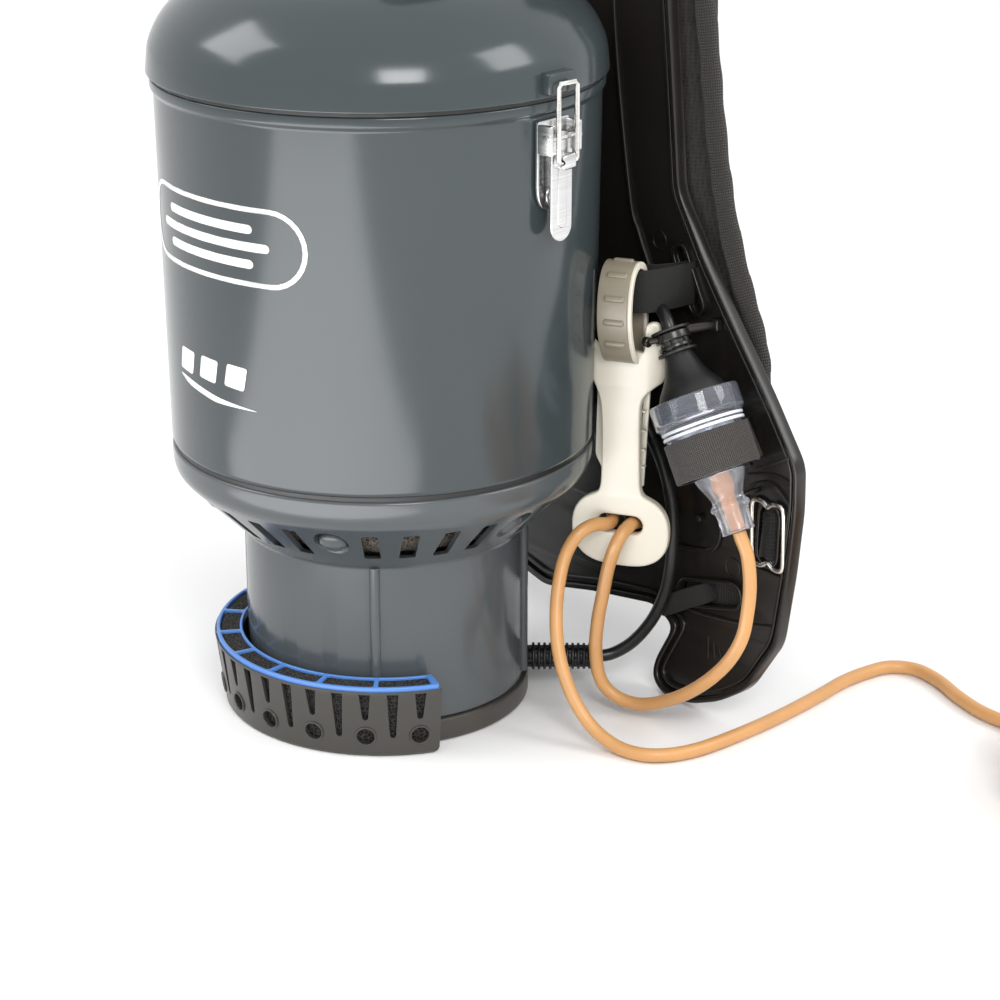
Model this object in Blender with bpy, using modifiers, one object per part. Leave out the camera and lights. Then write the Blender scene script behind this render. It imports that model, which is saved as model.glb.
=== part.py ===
"""Backpack vacuum cleaner: canister, motor housing, harness and lead.

Metres, +Z up. The origin is on the canister's axis at floor level. -Y faces away
from the wearer, +Y is the harness side. Angles round the canister are counted
from -Y towards +X.
"""
import math

import bmesh
import bpy
from mathutils import Matrix, Vector

# ---- driving dimensions ------------------------------------------------------------
NAME = "backpack_vacuum"
GAP = 0.0003                    # clearance between touching parts

STEPS = 40                      # facets round the canister
NECK_R = 0.0705                 # motor housing neck
BASE_R = 0.0725                 # base ring, slightly proud of the neck
BASE_TOP = 0.0125
CONE_TOP = 0.1267
TANK_R = 0.105                  # at the seam
TANK_RIM_R = 0.1071
SEAM_Z = 0.1412
RIM_Z = 0.3220
LID_TOP = 0.3800
WALL = 0.0028

VENT_PITCH = 12
SCREW_ANGLES = range(36, 396, 60)
VENT_ANGLES = [a for a in range(0, 360, VENT_PITCH) if a not in (36, 96, 156, 216, 276, 336)]
SCREW_R = 0.0905                # pitch radius of the six housing screws
RIB_ANGLES = (48, -48, 132, -132)

EXHAUST_HALF = 70               # the exhaust filter spans this much each side of -Y
CELLS = 7
CELL_PITCH = 19.4
SLOT_PITCH = 9
COVER_TOP = 0.0340
FRAME_TOP = 0.0383

LATCH_ANGLES = {"right": 99, "left": -99}
LATCH_PIVOT = (0.0, -0.1140, 0.3060)
CLAW_PIVOT = (0.0, -0.1178, 0.2955)

SWITCH_ANGLE = -112
SWITCH_Z = 0.0600
SWITCH_PIVOT_R = 0.0720

RELIEF_ANGLE = 140
RELIEF_Z = 0.0175
RELIEF_END = 0.1055
FLEX_R = 0.0032
LEAD_R = 0.0034
STUB = 0.0035                   # how far a cord runs straight out of its fitting

PLATE_FRONT = 0.1115            # front of the raised rim
PLATE_FACE = 0.1150
PLATE_BACK = 0.1185
PLATE_RIM = 0.0050
PLATE_HALF = [(0.000, 0.029), (0.036, 0.0363), (0.0815, 0.0428), (0.098, 0.036), (0.090, 0.016),
              (0.091, 0.007), (0.101, 0.001), (0.121, 0.003), (0.139, 0.010), (0.155, 0.021),
              (0.169, 0.048), (0.175, 0.086), (0.1785, 0.120), (0.178, 0.143), (0.157, 0.1725),
              (0.133, 0.203), (0.111, 0.232), (0.092, 0.262), (0.088, 0.300), (0.083, 0.345),
              (0.078, 0.390), (0.066, 0.424), (0.040, 0.438), (0.000, 0.441)]
FOOT_BEND_Z = 0.0450            # below this the plate's feet lean forward
FOOT_LEAN = 0.25

SIDES = (("right", 1), ("left", -1))
PAD_FRONT = 0.1390
STRAP_X = 0.0480
STRAP_PATH = [(0.1275, 0.4330), (0.1280, 0.4480), (0.1330, 0.4570), (0.1420, 0.4590),
              (0.1490, 0.4520), (0.1515, 0.4350), (0.1510, 0.4000), (0.1500, 0.3300),
              (0.1505, 0.2600), (0.1520, 0.2150), (0.1535, 0.1860)]

LOWER_WEBBING = [(0.0480, 0.1545, 0.1553), (0.0490, 0.1545, 0.1440), (0.0570, 0.1540, 0.1320),
                 (0.0740, 0.1530, 0.1235), (0.0980, 0.1510, 0.1160), (0.1220, 0.1470, 0.1090),
                 (0.1430, 0.1400, 0.1050), (0.1540, 0.1310, 0.1035), (0.1590, 0.1210, 0.1030),
                 (0.1590, 0.1090, 0.1030)]
RING_CENTRE = (0.1590, 0.1030)

HOOK_ORIGIN = (0.0924, 0.0760, 0.0)
HOOK_ANGLE = 30
SLOT_Z = 0.0985
HOOK_WEB_Z = 0.2200

PLUG_TOP = Vector((0.1090, 0.0915, 0.2010))
PLUG_END = Vector((0.1605, 0.0915, 0.1105))

COIL_CENTRE = (0.3620, 0.2060)
COIL_INNER = 0.0400
COIL_OUTER = 0.0930
COIL_HEIGHT = 0.0445

# the black machine flex, from its strain relief to the plug under the hook's loop
FLEX_ROUTE = [(0.0740, 0.0900, 0.0185), (0.0805, 0.0975, 0.0250), (0.0885, 0.1030, 0.0380),
              (0.0955, 0.1050, 0.0540), (0.1000, 0.1045, 0.0700), (0.1015, 0.1040, 0.0860),
              (0.1000, 0.1045, 0.1010), (0.0960, 0.1052, 0.1150), (0.0880, 0.1060, 0.1280),
              (0.0785, 0.1060, 0.1405), (0.0720, 0.1055, 0.1550), (0.0695, 0.1045, 0.1700),
              (0.0710, 0.1030, 0.1850), (0.0765, 0.1012, 0.1980), (0.0850, 0.0992, 0.2050),
              (0.0940, 0.0968, 0.2075), (0.1010, 0.0938, 0.2078)]

# the orange lead, from its boot, down, through the hook's slot twice, and over the floor
LEAD_ROUTE = [(0.1661, 0.0921, 0.0996), (0.1702, 0.0903, 0.0862), (0.1718, 0.0876, 0.0730),
              (0.1712, 0.0849, 0.0599), (0.1658, 0.0814, 0.0468), (0.1556, 0.0783, 0.0344),
              (0.1424, 0.0760, 0.0232), (0.1264, 0.0748, 0.0136), (0.1122, 0.0724, 0.0082),
              (0.1006, 0.0680, 0.0097), (0.0937, 0.0636, 0.0179), (0.0908, 0.0625, 0.0335),
              (0.0905, 0.0641, 0.0499), (0.0924, 0.0658, 0.0654), (0.0945, 0.0673, 0.0796),
              (0.0975, 0.0688, 0.0901), (0.0983, 0.0726, 0.0963), (0.0970, 0.0788, 0.0987),
              (0.0945, 0.0850, 0.0987), (0.0945, 0.0930, 0.1010), (0.0910, 0.1010, 0.1050),
              (0.0830, 0.1055, 0.1080), (0.0740, 0.1035, 0.1070), (0.0705, 0.0960, 0.1045),
              (0.0745, 0.0880, 0.1010), (0.0825, 0.0805, 0.0990), (0.0877, 0.0732, 0.0983),
              (0.0872, 0.0628, 0.0998), (0.0853, 0.0543, 0.0960), (0.0838, 0.0476, 0.0858),
              (0.0866, 0.0411, 0.0736), (0.0909, 0.0358, 0.0614), (0.0960, 0.0321, 0.0486),
              (0.1025, 0.0300, 0.0363), (0.1100, 0.0300, 0.0243), (0.1184, 0.0317, 0.0141),
              (0.1277, 0.0340, 0.0075), (0.1390, 0.0371, 0.0038), (0.1514, 0.0418, 0.0038),
              (0.1594, 0.0527, 0.0038), (0.1633, 0.0687, 0.0038), (0.1635, 0.0950, 0.0038),
              (0.1614, 0.1247, 0.0038), (0.1570, 0.1560, 0.0038), (0.1530, 0.1780, 0.0038),
              (0.1525, 0.1960, 0.0038), (0.1554, 0.2117, 0.0038), (0.1672, 0.2198, 0.0038),
              (0.1850, 0.2175, 0.0038), (0.2050, 0.2100, 0.0038), (0.2260, 0.2050, 0.0038),
              (0.2440, 0.2045, 0.0038), (0.2560, 0.2050, 0.0038)]

PALETTE = {                     # colour, roughness, metallic
    "charcoal_gloss": ((0.11, 0.12, 0.13), 0.18, 0.0),
    "grey_plastic": ((0.07, 0.068, 0.065), 0.45, 0.0),
    "black_plastic": ((0.02, 0.02, 0.02), 0.35, 0.0),
    "blue_plastic": ((0.06, 0.16, 0.55), 0.4, 0.0),
    "foam": ((0.03, 0.03, 0.028), 0.95, 0.0),
    "ivory_plastic": ((0.78, 0.73, 0.62), 0.4, 0.0),
    "clear_plastic": ((0.75, 0.78, 0.86), 0.1, 0.0),
    "rubber": ((0.03, 0.03, 0.03), 0.6, 0.0),
    "steel": ((0.6, 0.6, 0.6), 0.25, 1.0),
    "copper": ((0.6, 0.3, 0.15), 0.35, 1.0),
    "aluminium": ((0.6, 0.61, 0.62), 0.4, 1.0),
    "webbing": ((0.02, 0.02, 0.02), 0.9, 0.0),
    "mesh_fabric": ((0.03, 0.028, 0.026), 0.95, 0.0),
    "filter_cloth": ((0.75, 0.74, 0.7), 0.9, 0.0),
    "orange_cord": ((0.83, 0.42, 0.16), 0.4, 0.0),
    "black_cord": ((0.02, 0.02, 0.02), 0.4, 0.0),
    "red_plastic": ((0.5, 0.03, 0.02), 0.35, 0.0),
}


# ---- scene and helpers -------------------------------------------------------------
def clear_scene():
    for obj in list(bpy.data.objects):
        bpy.data.objects.remove(obj, do_unlink=True)


def collection(name, hidden=False):
    group = bpy.data.collections.new(name)
    bpy.context.scene.collection.children.link(group)
    group.hide_render = hidden
    return group


def material(name):
    if name in bpy.data.materials:
        return bpy.data.materials[name]
    colour, roughness, metallic = PALETTE[name]
    mat = bpy.data.materials.new(name)
    mat.use_nodes = True
    shader = mat.node_tree.nodes["Principled BSDF"]
    shader.inputs["Base Color"].default_value = (*colour, 1.0)
    shader.inputs["Roughness"].default_value = roughness
    shader.inputs["Metallic"].default_value = metallic
    return mat


def move_to(obj, group):
    for old in list(obj.users_collection):
        old.objects.unlink(obj)
    group.objects.link(obj)


def settle(obj):
    """Turn the object's modifiers into plain mesh, with its caps welded."""
    graph = bpy.context.evaluated_depsgraph_get()
    mesh = bpy.data.meshes.new_from_object(obj.evaluated_get(graph))
    bm = bmesh.new()
    bm.from_mesh(mesh)
    bmesh.ops.remove_doubles(bm, verts=bm.verts, dist=1e-6)
    bm.to_mesh(mesh)
    bm.free()
    if obj.type == "MESH":
        obj.modifiers.clear()
        obj.data = mesh
        return obj
    solid = bpy.data.objects.new(obj.name + "_solid", mesh)
    solid.matrix_world = obj.matrix_world
    bpy.context.scene.collection.objects.link(solid)
    bpy.data.objects.remove(obj, do_unlink=True)
    return solid


def place(obj, matrix):
    obj.data.transform(matrix)
    return obj


def finish(obj, name, mat, joint_point=None, parent=None):
    """Name a part, give it its material, and put its origin on its joint."""
    settle(obj)
    obj.name = name
    obj.data.name = name
    move_to(obj, PARTS)
    obj.data.materials.clear()
    obj.data.materials.append(material(mat))
    if joint_point is not None:
        obj.data.transform(Matrix.Translation(-Vector(joint_point)))
        obj.location = joint_point
    obj.data.shade_smooth()
    obj.data.set_sharp_from_angle(angle=math.radians(35))
    if parent is not None:
        obj.parent = parent
    return obj


def empty(name, location, degrees=0.0):
    holder = bpy.data.objects.new(name, None)
    holder.location = location
    holder.rotation_euler = (0.0, 0.0, math.radians(degrees))
    PARTS.objects.link(holder)
    return holder


def turned(profile, steps=STEPS):
    """A turned shape: (radius, height) points, top to bottom on the outer side."""
    mesh = bpy.data.meshes.new("profile")
    count = len(profile)
    edges = [(i, (i + 1) % count) for i in range(count)
             if profile[i][0] > 0 or profile[(i + 1) % count][0] > 0]
    mesh.from_pydata([(r, 0.0, z) for r, z in profile], edges, [])
    obj = bpy.data.objects.new("turned", mesh)
    bpy.context.scene.collection.objects.link(obj)
    screw = obj.modifiers.new("turn", "SCREW")
    screw.steps = steps
    screw.render_steps = steps
    screw.use_merge_vertices = True
    screw.merge_threshold = 1e-6
    return settle(obj)


def box(size, centre, bevel=0.0, turn=None):
    bpy.ops.mesh.primitive_cube_add(size=1.0)
    obj = bpy.context.object
    obj.data.transform(Matrix.Diagonal((*size, 1.0)))
    if bevel:
        rounding = obj.modifiers.new("rounding", "BEVEL")
        rounding.width = bevel
        rounding.segments = 2
        settle(obj)
    if turn is not None:
        obj.data.transform(turn)
    obj.data.transform(Matrix.Translation(centre))
    return obj


def rod(radius, length, centre, axis="Z", sides=20):
    bpy.ops.mesh.primitive_cylinder_add(radius=radius, depth=length, vertices=sides)
    obj = bpy.context.object
    if axis == "X":
        obj.data.transform(Matrix.Rotation(math.pi / 2, 4, "Y"))
    if axis == "Y":
        obj.data.transform(Matrix.Rotation(math.pi / 2, 4, "X"))
    obj.data.transform(Matrix.Translation(centre))
    return obj


def prism(outline, low, high):
    """A flat outline in X and Y, filled and extruded from low to high along Z."""
    curve = bpy.data.curves.new("outline", "CURVE")
    curve.dimensions = "2D"
    curve.fill_mode = "BOTH"
    curve.extrude = (high - low) / 2
    spline = curve.splines.new("POLY")
    spline.points.add(len(outline) - 1)
    for point, (x, y) in zip(spline.points, outline):
        point.co = (x, y, 0.0, 1.0)
    spline.use_cyclic_u = True
    obj = bpy.data.objects.new("outline", curve)
    bpy.context.scene.collection.objects.link(obj)
    solid = settle(obj)
    solid.data.transform(Matrix.Translation((0.0, 0.0, (high + low) / 2)))
    return solid


def upright(solid, front, back):
    """Stand a prism's X and Y in X and Z, its thickness from front to back along Y."""
    solid.data.transform(Matrix.Rotation(math.pi / 2, 4, "X"))
    solid.data.transform(Matrix.Translation((0.0, (front + back) / 2, 0.0)))
    return solid


def plate_prism(outline, front, back):
    half = (back - front) / 2
    return upright(prism(outline, -half, half), front, back)


def tube(points, radius, resolution=2, cyclic=False):
    curve = bpy.data.curves.new("tube", "CURVE")
    curve.dimensions = "3D"
    curve.bevel_depth = radius
    curve.bevel_resolution = resolution
    curve.use_fill_caps = not cyclic
    spline = curve.splines.new("POLY")
    spline.points.add(len(points) - 1)
    for point, place_at in zip(spline.points, points):
        point.co = (*place_at, 1.0)
    spline.use_cyclic_u = cyclic
    obj = bpy.data.objects.new("tube", curve)
    bpy.context.scene.collection.objects.link(obj)
    return settle(obj)


def ribbon(path, width, thickness, closed=False):
    """A strip along path, spread by a width vector, or one for each point."""
    mesh = bpy.data.meshes.new("ribbon")
    count = len(path)
    widths = [Vector(w) for w in width] if hasattr(width[0], "__len__") else [Vector(width)] * count
    verts = [Vector(p) - w / 2 for p, w in zip(path, widths)]
    verts += [Vector(p) + w / 2 for p, w in zip(path, widths)]
    last = count if closed else count - 1
    faces = [(i, (i + 1) % count, count + (i + 1) % count, count + i) for i in range(last)]
    mesh.from_pydata(verts, [], faces)
    obj = bpy.data.objects.new("ribbon", mesh)
    bpy.context.scene.collection.objects.link(obj)
    skin = obj.modifiers.new("thickness", "SOLIDIFY")
    skin.thickness = thickness
    skin.offset = 0.0
    skin.use_even_offset = True
    settle(obj)
    bm = bmesh.new()
    bm.from_mesh(obj.data)
    bmesh.ops.recalc_face_normals(bm, faces=bm.faces)
    bm.to_mesh(obj.data)
    bm.free()
    return obj


def combine(target, tool, operation, solver="EXACT"):
    tool.name = "cutter"
    move_to(tool, CUTTERS)
    tool.hide_render = True
    tool.display_type = "WIRE"
    step = target.modifiers.new(operation.lower(), "BOOLEAN")
    step.operation = operation
    step.object = tool
    step.solver = solver
    return settle(target)


def cut(target, *tools, solver="EXACT"):
    for tool in tools:
        combine(target, tool, "DIFFERENCE", solver)
    return target


def unite(target, *tools):
    for tool in tools:
        combine(target, tool, "UNION")
    return target


def keep(target, tool):
    return combine(target, tool, "INTERSECT")


def group(solids):
    """Join solids that don't touch into one mesh object."""
    bm = bmesh.new()
    for solid in solids:
        solid.data.transform(solid.matrix_world)
        bm.from_mesh(solid.data)
    mesh = bpy.data.meshes.new("group")
    bm.to_mesh(mesh)
    bm.free()
    for solid in solids:
        bpy.data.objects.remove(solid, do_unlink=True)
    obj = bpy.data.objects.new("group", mesh)
    bpy.context.scene.collection.objects.link(obj)
    return obj


def turn_to(degrees):
    """Carry what faces -Y round to the given angle."""
    return Matrix.Rotation(math.radians(degrees), 4, "Z")


def polar(radius, degrees):
    angle = math.radians(degrees)
    return radius * math.sin(angle), -radius * math.cos(angle)


def wedge(half_angle, radius=0.13, low=-0.01, high=0.08):
    """A sector prism about -Y."""
    count = 20
    rim = [polar(radius, -half_angle + 2 * half_angle * i / count) for i in range(count + 1)]
    return prism([(0.0, 0.0)] + rim, low, high)


def spline_point(a, b, c, d, t):
    """A point of a Catmull-Rom curve between b and c."""
    return (b * 2 + (c - a) * t + (a * 2 - b * 5 + c * 4 - d) * t * t
            + (b * 3 - a - c * 3 + d) * t ** 3) / 2


def smooth(points, per_span, closed=False):
    """A smooth curve through the points, with per_span pieces between each two."""
    pts = [Vector(p) for p in points]
    count = len(pts)
    result = []
    for i in range(count if closed else count - 1):
        ends = [i - 1, i, i + 1, i + 2]
        if closed:
            a, b, c, d = (pts[k % count] for k in ends)
        else:
            a, b, c, d = (pts[min(max(k, 0), count - 1)] for k in ends)
        result += [spline_point(a, b, c, d, step / per_span) for step in range(per_span)]
    if not closed:
        result.append(pts[-1])
    return result


def spaced(points, spacing, spans=8):
    """Points at even spacing along a smooth curve through the given ones."""
    fine = smooth(points, spans)
    lengths = [0.0]
    for a, b in zip(fine, fine[1:]):
        lengths.append(lengths[-1] + (b - a).length)
    count = round(lengths[-1] / spacing)
    result = []
    k = 0
    for i in range(count + 1):
        goal = lengths[-1] * i / count
        while k < len(fine) - 2 and lengths[k + 1] < goal:
            k += 1
        share = (goal - lengths[k]) / (lengths[k + 1] - lengths[k])
        result.append(fine[k].lerp(fine[k + 1], share))
    return result


def shrink(outline, inset):
    """Move a closed counter-clockwise outline inwards by inset."""
    pts = [Vector(p) for p in outline]
    result = []
    for i, here in enumerate(pts):
        along = (pts[(i + 1) % len(pts)] - pts[i - 1]).normalized()
        result.append(here + Vector((-along.y, along.x)) * inset)
    return result


def obround(length, height, centre, degrees=0.0, sides=4):
    """A slot outline with round ends, turned about its centre."""
    radius = height / 2
    reach = length / 2 - radius
    points = []
    for side, start in ((1, -90), (-1, 90)):
        for i in range(sides + 1):
            angle = math.radians(start + 180 * i / sides)
            points.append((side * reach + radius * math.cos(angle), radius * math.sin(angle)))
    spin = math.radians(degrees)
    return [(centre[0] + x * math.cos(spin) - y * math.sin(spin),
             centre[1] + x * math.sin(spin) + y * math.cos(spin)) for x, y in points]


# ---- motor housing and canister ----------------------------------------------------
def make_base_cap():
    cap = turned([(0, 0.003), (0.0675, 0.003), (0.0675, 0.0121), (0.0722, 0.0121),
                  (BASE_R, 0.0114), (BASE_R, 0.0015), (0.0710, 0), (0, 0)])
    finish(cap, "base_cap", "grey_plastic")


HOUSING_OUTER = [(TANK_R, 0.1409), (TANK_R, 0.1310), (0.1035, CONE_TOP), (0.0715, 0.0955),
                 (NECK_R, 0.0935), (NECK_R, BASE_TOP)]


def housing_envelope():
    return turned([(0, 0.1409), *HOUSING_OUTER, (0, BASE_TOP)])


def make_motor_housing():
    inner = NECK_R - WALL
    shell = turned([*HOUSING_OUTER, (inner, BASE_TOP), (inner, 0.0955), (0.1022, 0.1290),
                    (0.1022, 0.1379), (0.0790, 0.1379), (0.0790, 0.1409)])
    bosses = group([rod(0.0107, 0.030, (*polar(SCREW_R, a), 0.1255), sides=12)
                    for a in SCREW_ANGLES])
    keep(bosses, housing_envelope())
    pockets = group([rod(0.0087, 0.030, (*polar(SCREW_R, a), 0.1090), sides=12)
                     for a in SCREW_ANGLES])
    holes = group([rod(0.0023, 0.022, (*polar(SCREW_R, a), 0.1330), sides=8)
                   for a in SCREW_ANGLES])
    ribs = group([rod(0.0026, 0.0800, (*polar(0.0703, a), 0.0545), sides=8)
                  for a in RIB_ANGLES])
    vents = []
    for angle in VENT_ANGLES:
        vents.append(place(box((0.0080, 0.050, 0.0190), (0, -0.0880, 0.1122)), turn_to(angle)))
    windows = []
    for cell in range(CELLS):
        angle = (cell - (CELLS - 1) / 2) * CELL_PITCH
        windows.append(place(box((0.0150, 0.012, 0.0150), (0, -NECK_R, 0.0240)), turn_to(angle)))
    switch_hole = place(box((0.0150, 0.020, 0.0230), (0, -NECK_R, SWITCH_Z)),
                        turn_to(SWITCH_ANGLE))
    relief_hole = place(rod(0.0045, 0.012, (0, -NECK_R, RELIEF_Z), axis="Y", sides=12),
                        turn_to(RELIEF_ANGLE))
    unite(shell, bosses, ribs)
    cut(shell, pockets, holes, group(vents), group(windows + [switch_hole, relief_hole]),
        solver="MANIFOLD")
    finish(shell, "motor_housing", "charcoal_gloss")


def make_tank():
    shell = turned([(0.1088, RIM_Z), (0.1088, RIM_Z - 0.0045), (TANK_RIM_R, RIM_Z - 0.0060),
                    (TANK_R, SEAM_Z + 0.0010), (0.1044, SEAM_Z), (0.0320, SEAM_Z),
                    (0.0320, SEAM_Z + 0.0032), (0.1022, SEAM_Z + 0.0032), (0.1048, RIM_Z)])
    holes = group([rod(0.0023, 0.020, (*polar(SCREW_R, a), SEAM_Z), sides=8)
                   for a in SCREW_ANGLES])
    finish(cut(shell, holes), "tank", "charcoal_gloss")


def make_tank_fittings():
    top = SEAM_Z + 0.0035
    finish(turned([(0.0620, top + 0.012), (0.0620, top), (0.0100, top), (0.0100, top + 0.012)],
                  32), "pre_motor_filter", "foam")
    finish(turned([(0.0950, 0.3060), (0.0950, 0.2000), (0.0850, 0.1720), (0.0550, 0.1650),
                   (0, 0.1640), (0, 0.1655), (0.0545, 0.1665), (0.0838, 0.1735),
                   (0.0935, 0.2000), (0.0935, 0.3060)], 20),
           "filter_bag", "filter_cloth")
    finish(turned([(0.1030, 0.3095), (0.1030, 0.3065), (0.0900, 0.3065), (0.0900, 0.3095)], 24),
           "filter_bag_ring", "black_plastic")


def make_lid():
    shell = turned([(0.0268, LID_TOP), (0.0600, 0.3765), (0.0860, 0.3668), (0.1030, 0.3510),
                    (0.1090, 0.3380), (0.1105, 0.3242), (0.1030, 0.3242), (0.1050, 0.3380),
                    (0.0995, 0.3495), (0.0845, 0.3638), (0.0590, 0.3730), (0.0268, 0.3765)])
    keepers = [place(box((0.0180, 0.0070, 0.0100), (0, -0.1112, 0.3310)), turn_to(angle))
               for angle in LATCH_ANGLES.values()]
    unite(shell, group(keepers))
    finish(shell, "lid", "charcoal_gloss", (0, 0, RIM_Z))
    finish(turned([(0.1085, 0.3239), (0.1085, 0.3223), (0.1040, 0.3223), (0.1040, 0.3239)]),
           "lid_gasket", "rubber", (0, 0, RIM_Z))


def elbow_path():
    rise = 0.3960
    bend = 0.0300
    path = [Vector((0, 0, 0.3660)), Vector((0, 0, 0.3800)), Vector((0, 0, rise))]
    for i in range(1, 5):
        angle = math.radians(22.5 * i)
        path.append(Vector((bend * (1 - math.cos(angle)), 0, rise + bend * math.sin(angle))))
    path.append(path[-1] + Vector((0.0220, 0, 0)))
    return path


def make_hose_inlet():
    path = elbow_path()
    longer = [path[0] - Vector((0, 0, 0.004)), *path[1:-1], path[-1] + Vector((0.009, 0, 0))]
    elbow = tube(path, 0.0225, resolution=4)
    cut(elbow, tube(longer, 0.0190, resolution=4))
    cuff = rod(0.0262, 0.0160, (0.0440, 0, 0.4260), axis="X", sides=20)
    cut(cuff, rod(0.0205, 0.0300, (0.0440, 0, 0.4260), axis="X", sides=20))
    collar = turned([(0.0300, 0.3860), (0.0310, 0.3850), (0.0310, 0.3815), (0.0300, 0.3805),
                     (0.0207, 0.3805), (0.0207, 0.3860)], 20)
    unite(elbow, cuff, collar)
    finish(elbow, "hose_inlet", "black_plastic", (0, 0, LID_TOP))
    finish(turned([(0.0310, 0.3725), (0.0310, 0.3700), (0.0233, 0.3700), (0.0233, 0.3725)], 20),
           "inlet_retainer", "black_plastic", (0, 0, LID_TOP))


# ---- lid latches -------------------------------------------------------------------
def make_latch(side, angle):
    frame = empty("latch_frame_" + side, (0, 0, 0), angle)
    base = box((0.0220, 0.0016, 0.0420), (0, -0.1084, 0.2930))
    ears = group([box((0.0020, 0.0085, 0.0140), (x, -0.1128, 0.3060)) for x in (-0.010, 0.010)])
    rivet = rod(0.0032, 0.0030, (0, -0.1094, 0.2780), axis="Y", sides=12)
    unite(base, ears, rivet)
    cut(base, rod(0.0019, 0.030, LATCH_PIVOT, axis="X", sides=12))
    finish(base, "latch_plate_" + side, "steel", parent=frame)

    blade = plate_prism(obround(0.0515, 0.0145, (0, 0.28325), 90, 8), -0.1145, -0.1130)
    lug = box((0.0090, 0.0060, 0.0070), (0, -0.1170, CLAW_PIVOT[2]))
    pin = rod(0.0016, 0.0226, LATCH_PIVOT, axis="X", sides=12)
    unite(blade, lug, pin)
    cut(blade, rod(0.0018, 0.012, CLAW_PIVOT, axis="X", sides=10))
    finish(blade, "latch_lever_" + side, "steel", LATCH_PIVOT, frame)

    y, low = CLAW_PIVOT[1], CLAW_PIVOT[2]
    half = 0.0065
    wire = [(-0.0015, y, low), (-half, y, low), (-half, y + 0.0004, 0.3315),
            (half, y + 0.0004, 0.3315), (half, y, low), (0.0015, y, low)]
    finish(tube(wire, 0.0012), "latch_claw_" + side, "steel", CLAW_PIVOT, frame)


# ---- exhaust filter ----------------------------------------------------------------
def make_exhaust_cover():
    cover = turned([(0.0874, COVER_TOP), (0.0834, 0.0012), (0.0824, 0), (0.0731, 0),
                    (0.0731, COVER_TOP)], 40)
    keep(cover, wedge(EXHAUST_HALF))
    pocket = turned([(0.0852, 0.0400), (0.0813, 0.0025), (0.0700, 0.0025), (0.0700, 0.0400)], 40)
    keep(pocket, wedge(EXHAUST_HALF - 1.8))
    cut(cover, pocket)
    slots = []
    holes = []
    for i in range(-7, 8):
        short = i % 2
        low = 0.0215 if short else 0.0115
        height = COVER_TOP + 0.002 - low
        slot = box((0.0036, 0.012, height), (0, -0.0845, low + height / 2))
        slots.append(place(slot, turn_to(i * SLOT_PITCH)))
        if short:
            hole = rod(0.0044, 0.012, (0, -0.0835, 0.0115), axis="Y", sides=10)
            holes.append(place(hole, turn_to(i * SLOT_PITCH)))
    cut(cover, group(slots), group(holes))
    finish(cover, "exhaust_cover", "grey_plastic", (0, -0.0870, 0.0))


def make_exhaust_filter():
    frame = turned([(0.0870, FRAME_TOP), (0.0870, COVER_TOP + GAP), (0.0738, COVER_TOP + GAP),
                    (0.0738, FRAME_TOP)], 40)
    keep(frame, wedge(EXHAUST_HALF - 0.2))
    cells = []
    for cell in range(CELLS):
        middle = (cell - (CELLS - 1) / 2) * CELL_PITCH
        corners = [(0.0758, -8.6), (0.0758, 8.6), (0.0846, 8.6), (0.0846, 0), (0.0846, -8.6)]
        cells.append(prism([polar(r, middle + a) for r, a in corners], 0.030, 0.042))
    cut(frame, group(cells))
    joint = (0, -0.0800, COVER_TOP)
    finish(frame, "exhaust_filter_frame", "blue_plastic", joint)
    foam = turned([(0.0843, COVER_TOP), (0.0806, 0.0028), (0.0752, 0.0028),
                   (0.0752, COVER_TOP)], 40)
    finish(keep(foam, wedge(EXHAUST_HALF - 2.2)), "exhaust_foam", "foam", joint)


# ---- motor -------------------------------------------------------------------------
def make_motor():
    finish(turned([(0.0600, 0.1350), (0.0600, 0.0965), (0.0240, 0.0965), (0.0240, 0.0985),
                   (0.0580, 0.0985), (0.0580, 0.1330), (0.0200, 0.1330), (0.0200, 0.1350)], 18),
           "fan_case", "aluminium")
    finish(turned([(0.0420, 0.1409), (0.0420, 0.1353), (0.0220, 0.1353), (0.0220, 0.1409)], 16),
           "motor_seal", "rubber")
    finish(turned([(0.0450, 0.0962), (0.0450, 0.0380), (0.0114, 0.0380), (0.0114, 0.0440),
                   (0.0400, 0.0440), (0.0400, 0.0890), (0.0114, 0.0890), (0.0114, 0.0962)], 18),
           "motor_frame", "aluminium")
    finish(turned([(0.0480, 0.0460), (0.0480, 0.0033), (0.0300, 0.0033), (0.0300, 0.0377),
                   (0.0463, 0.0377), (0.0463, 0.0460)], 16), "motor_foot", "rubber")
    for name, low in (("bearing_lower", 0.0383), ("bearing_upper", 0.0893)):
        finish(turned([(0.0110, low + 0.006), (0.0110, low), (0.0042, low),
                       (0.0042, low + 0.006)], 16), name, "steel")
    finish(turned([(0, 0.1310), (0.0039, 0.1310), (0.0039, 0.0880), (0.0120, 0.0880),
                   (0.0120, 0.0810), (0.0290, 0.0800), (0.0290, 0.0500), (0.0039, 0.0490),
                   (0.0039, 0.0340), (0, 0.0340)], 16), "armature", "copper",
           (0, 0, 0.0340))
    fan = turned([(0.0090, 0.1300), (0.0090, 0.1060), (0.0520, 0.1060), (0.0520, 0.1040),
                  (0.0042, 0.1040), (0.0042, 0.1300)], 14)
    blades = group([place(box((0.0014, 0.0430, 0.0170), (0, -0.0290, 0.1135)), turn_to(45 * i))
                    for i in range(8)])
    finish(unite(fan, blades), "impeller", "aluminium", (0, 0, 0.1040))
    finish(turned([(0.0785, 0.1360), (0.0785, 0.1110), (0.0730, 0.1034), (0.0640, 0.1034),
                   (0.0640, 0.1360)], 18), "sound_foam", "foam")


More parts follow.
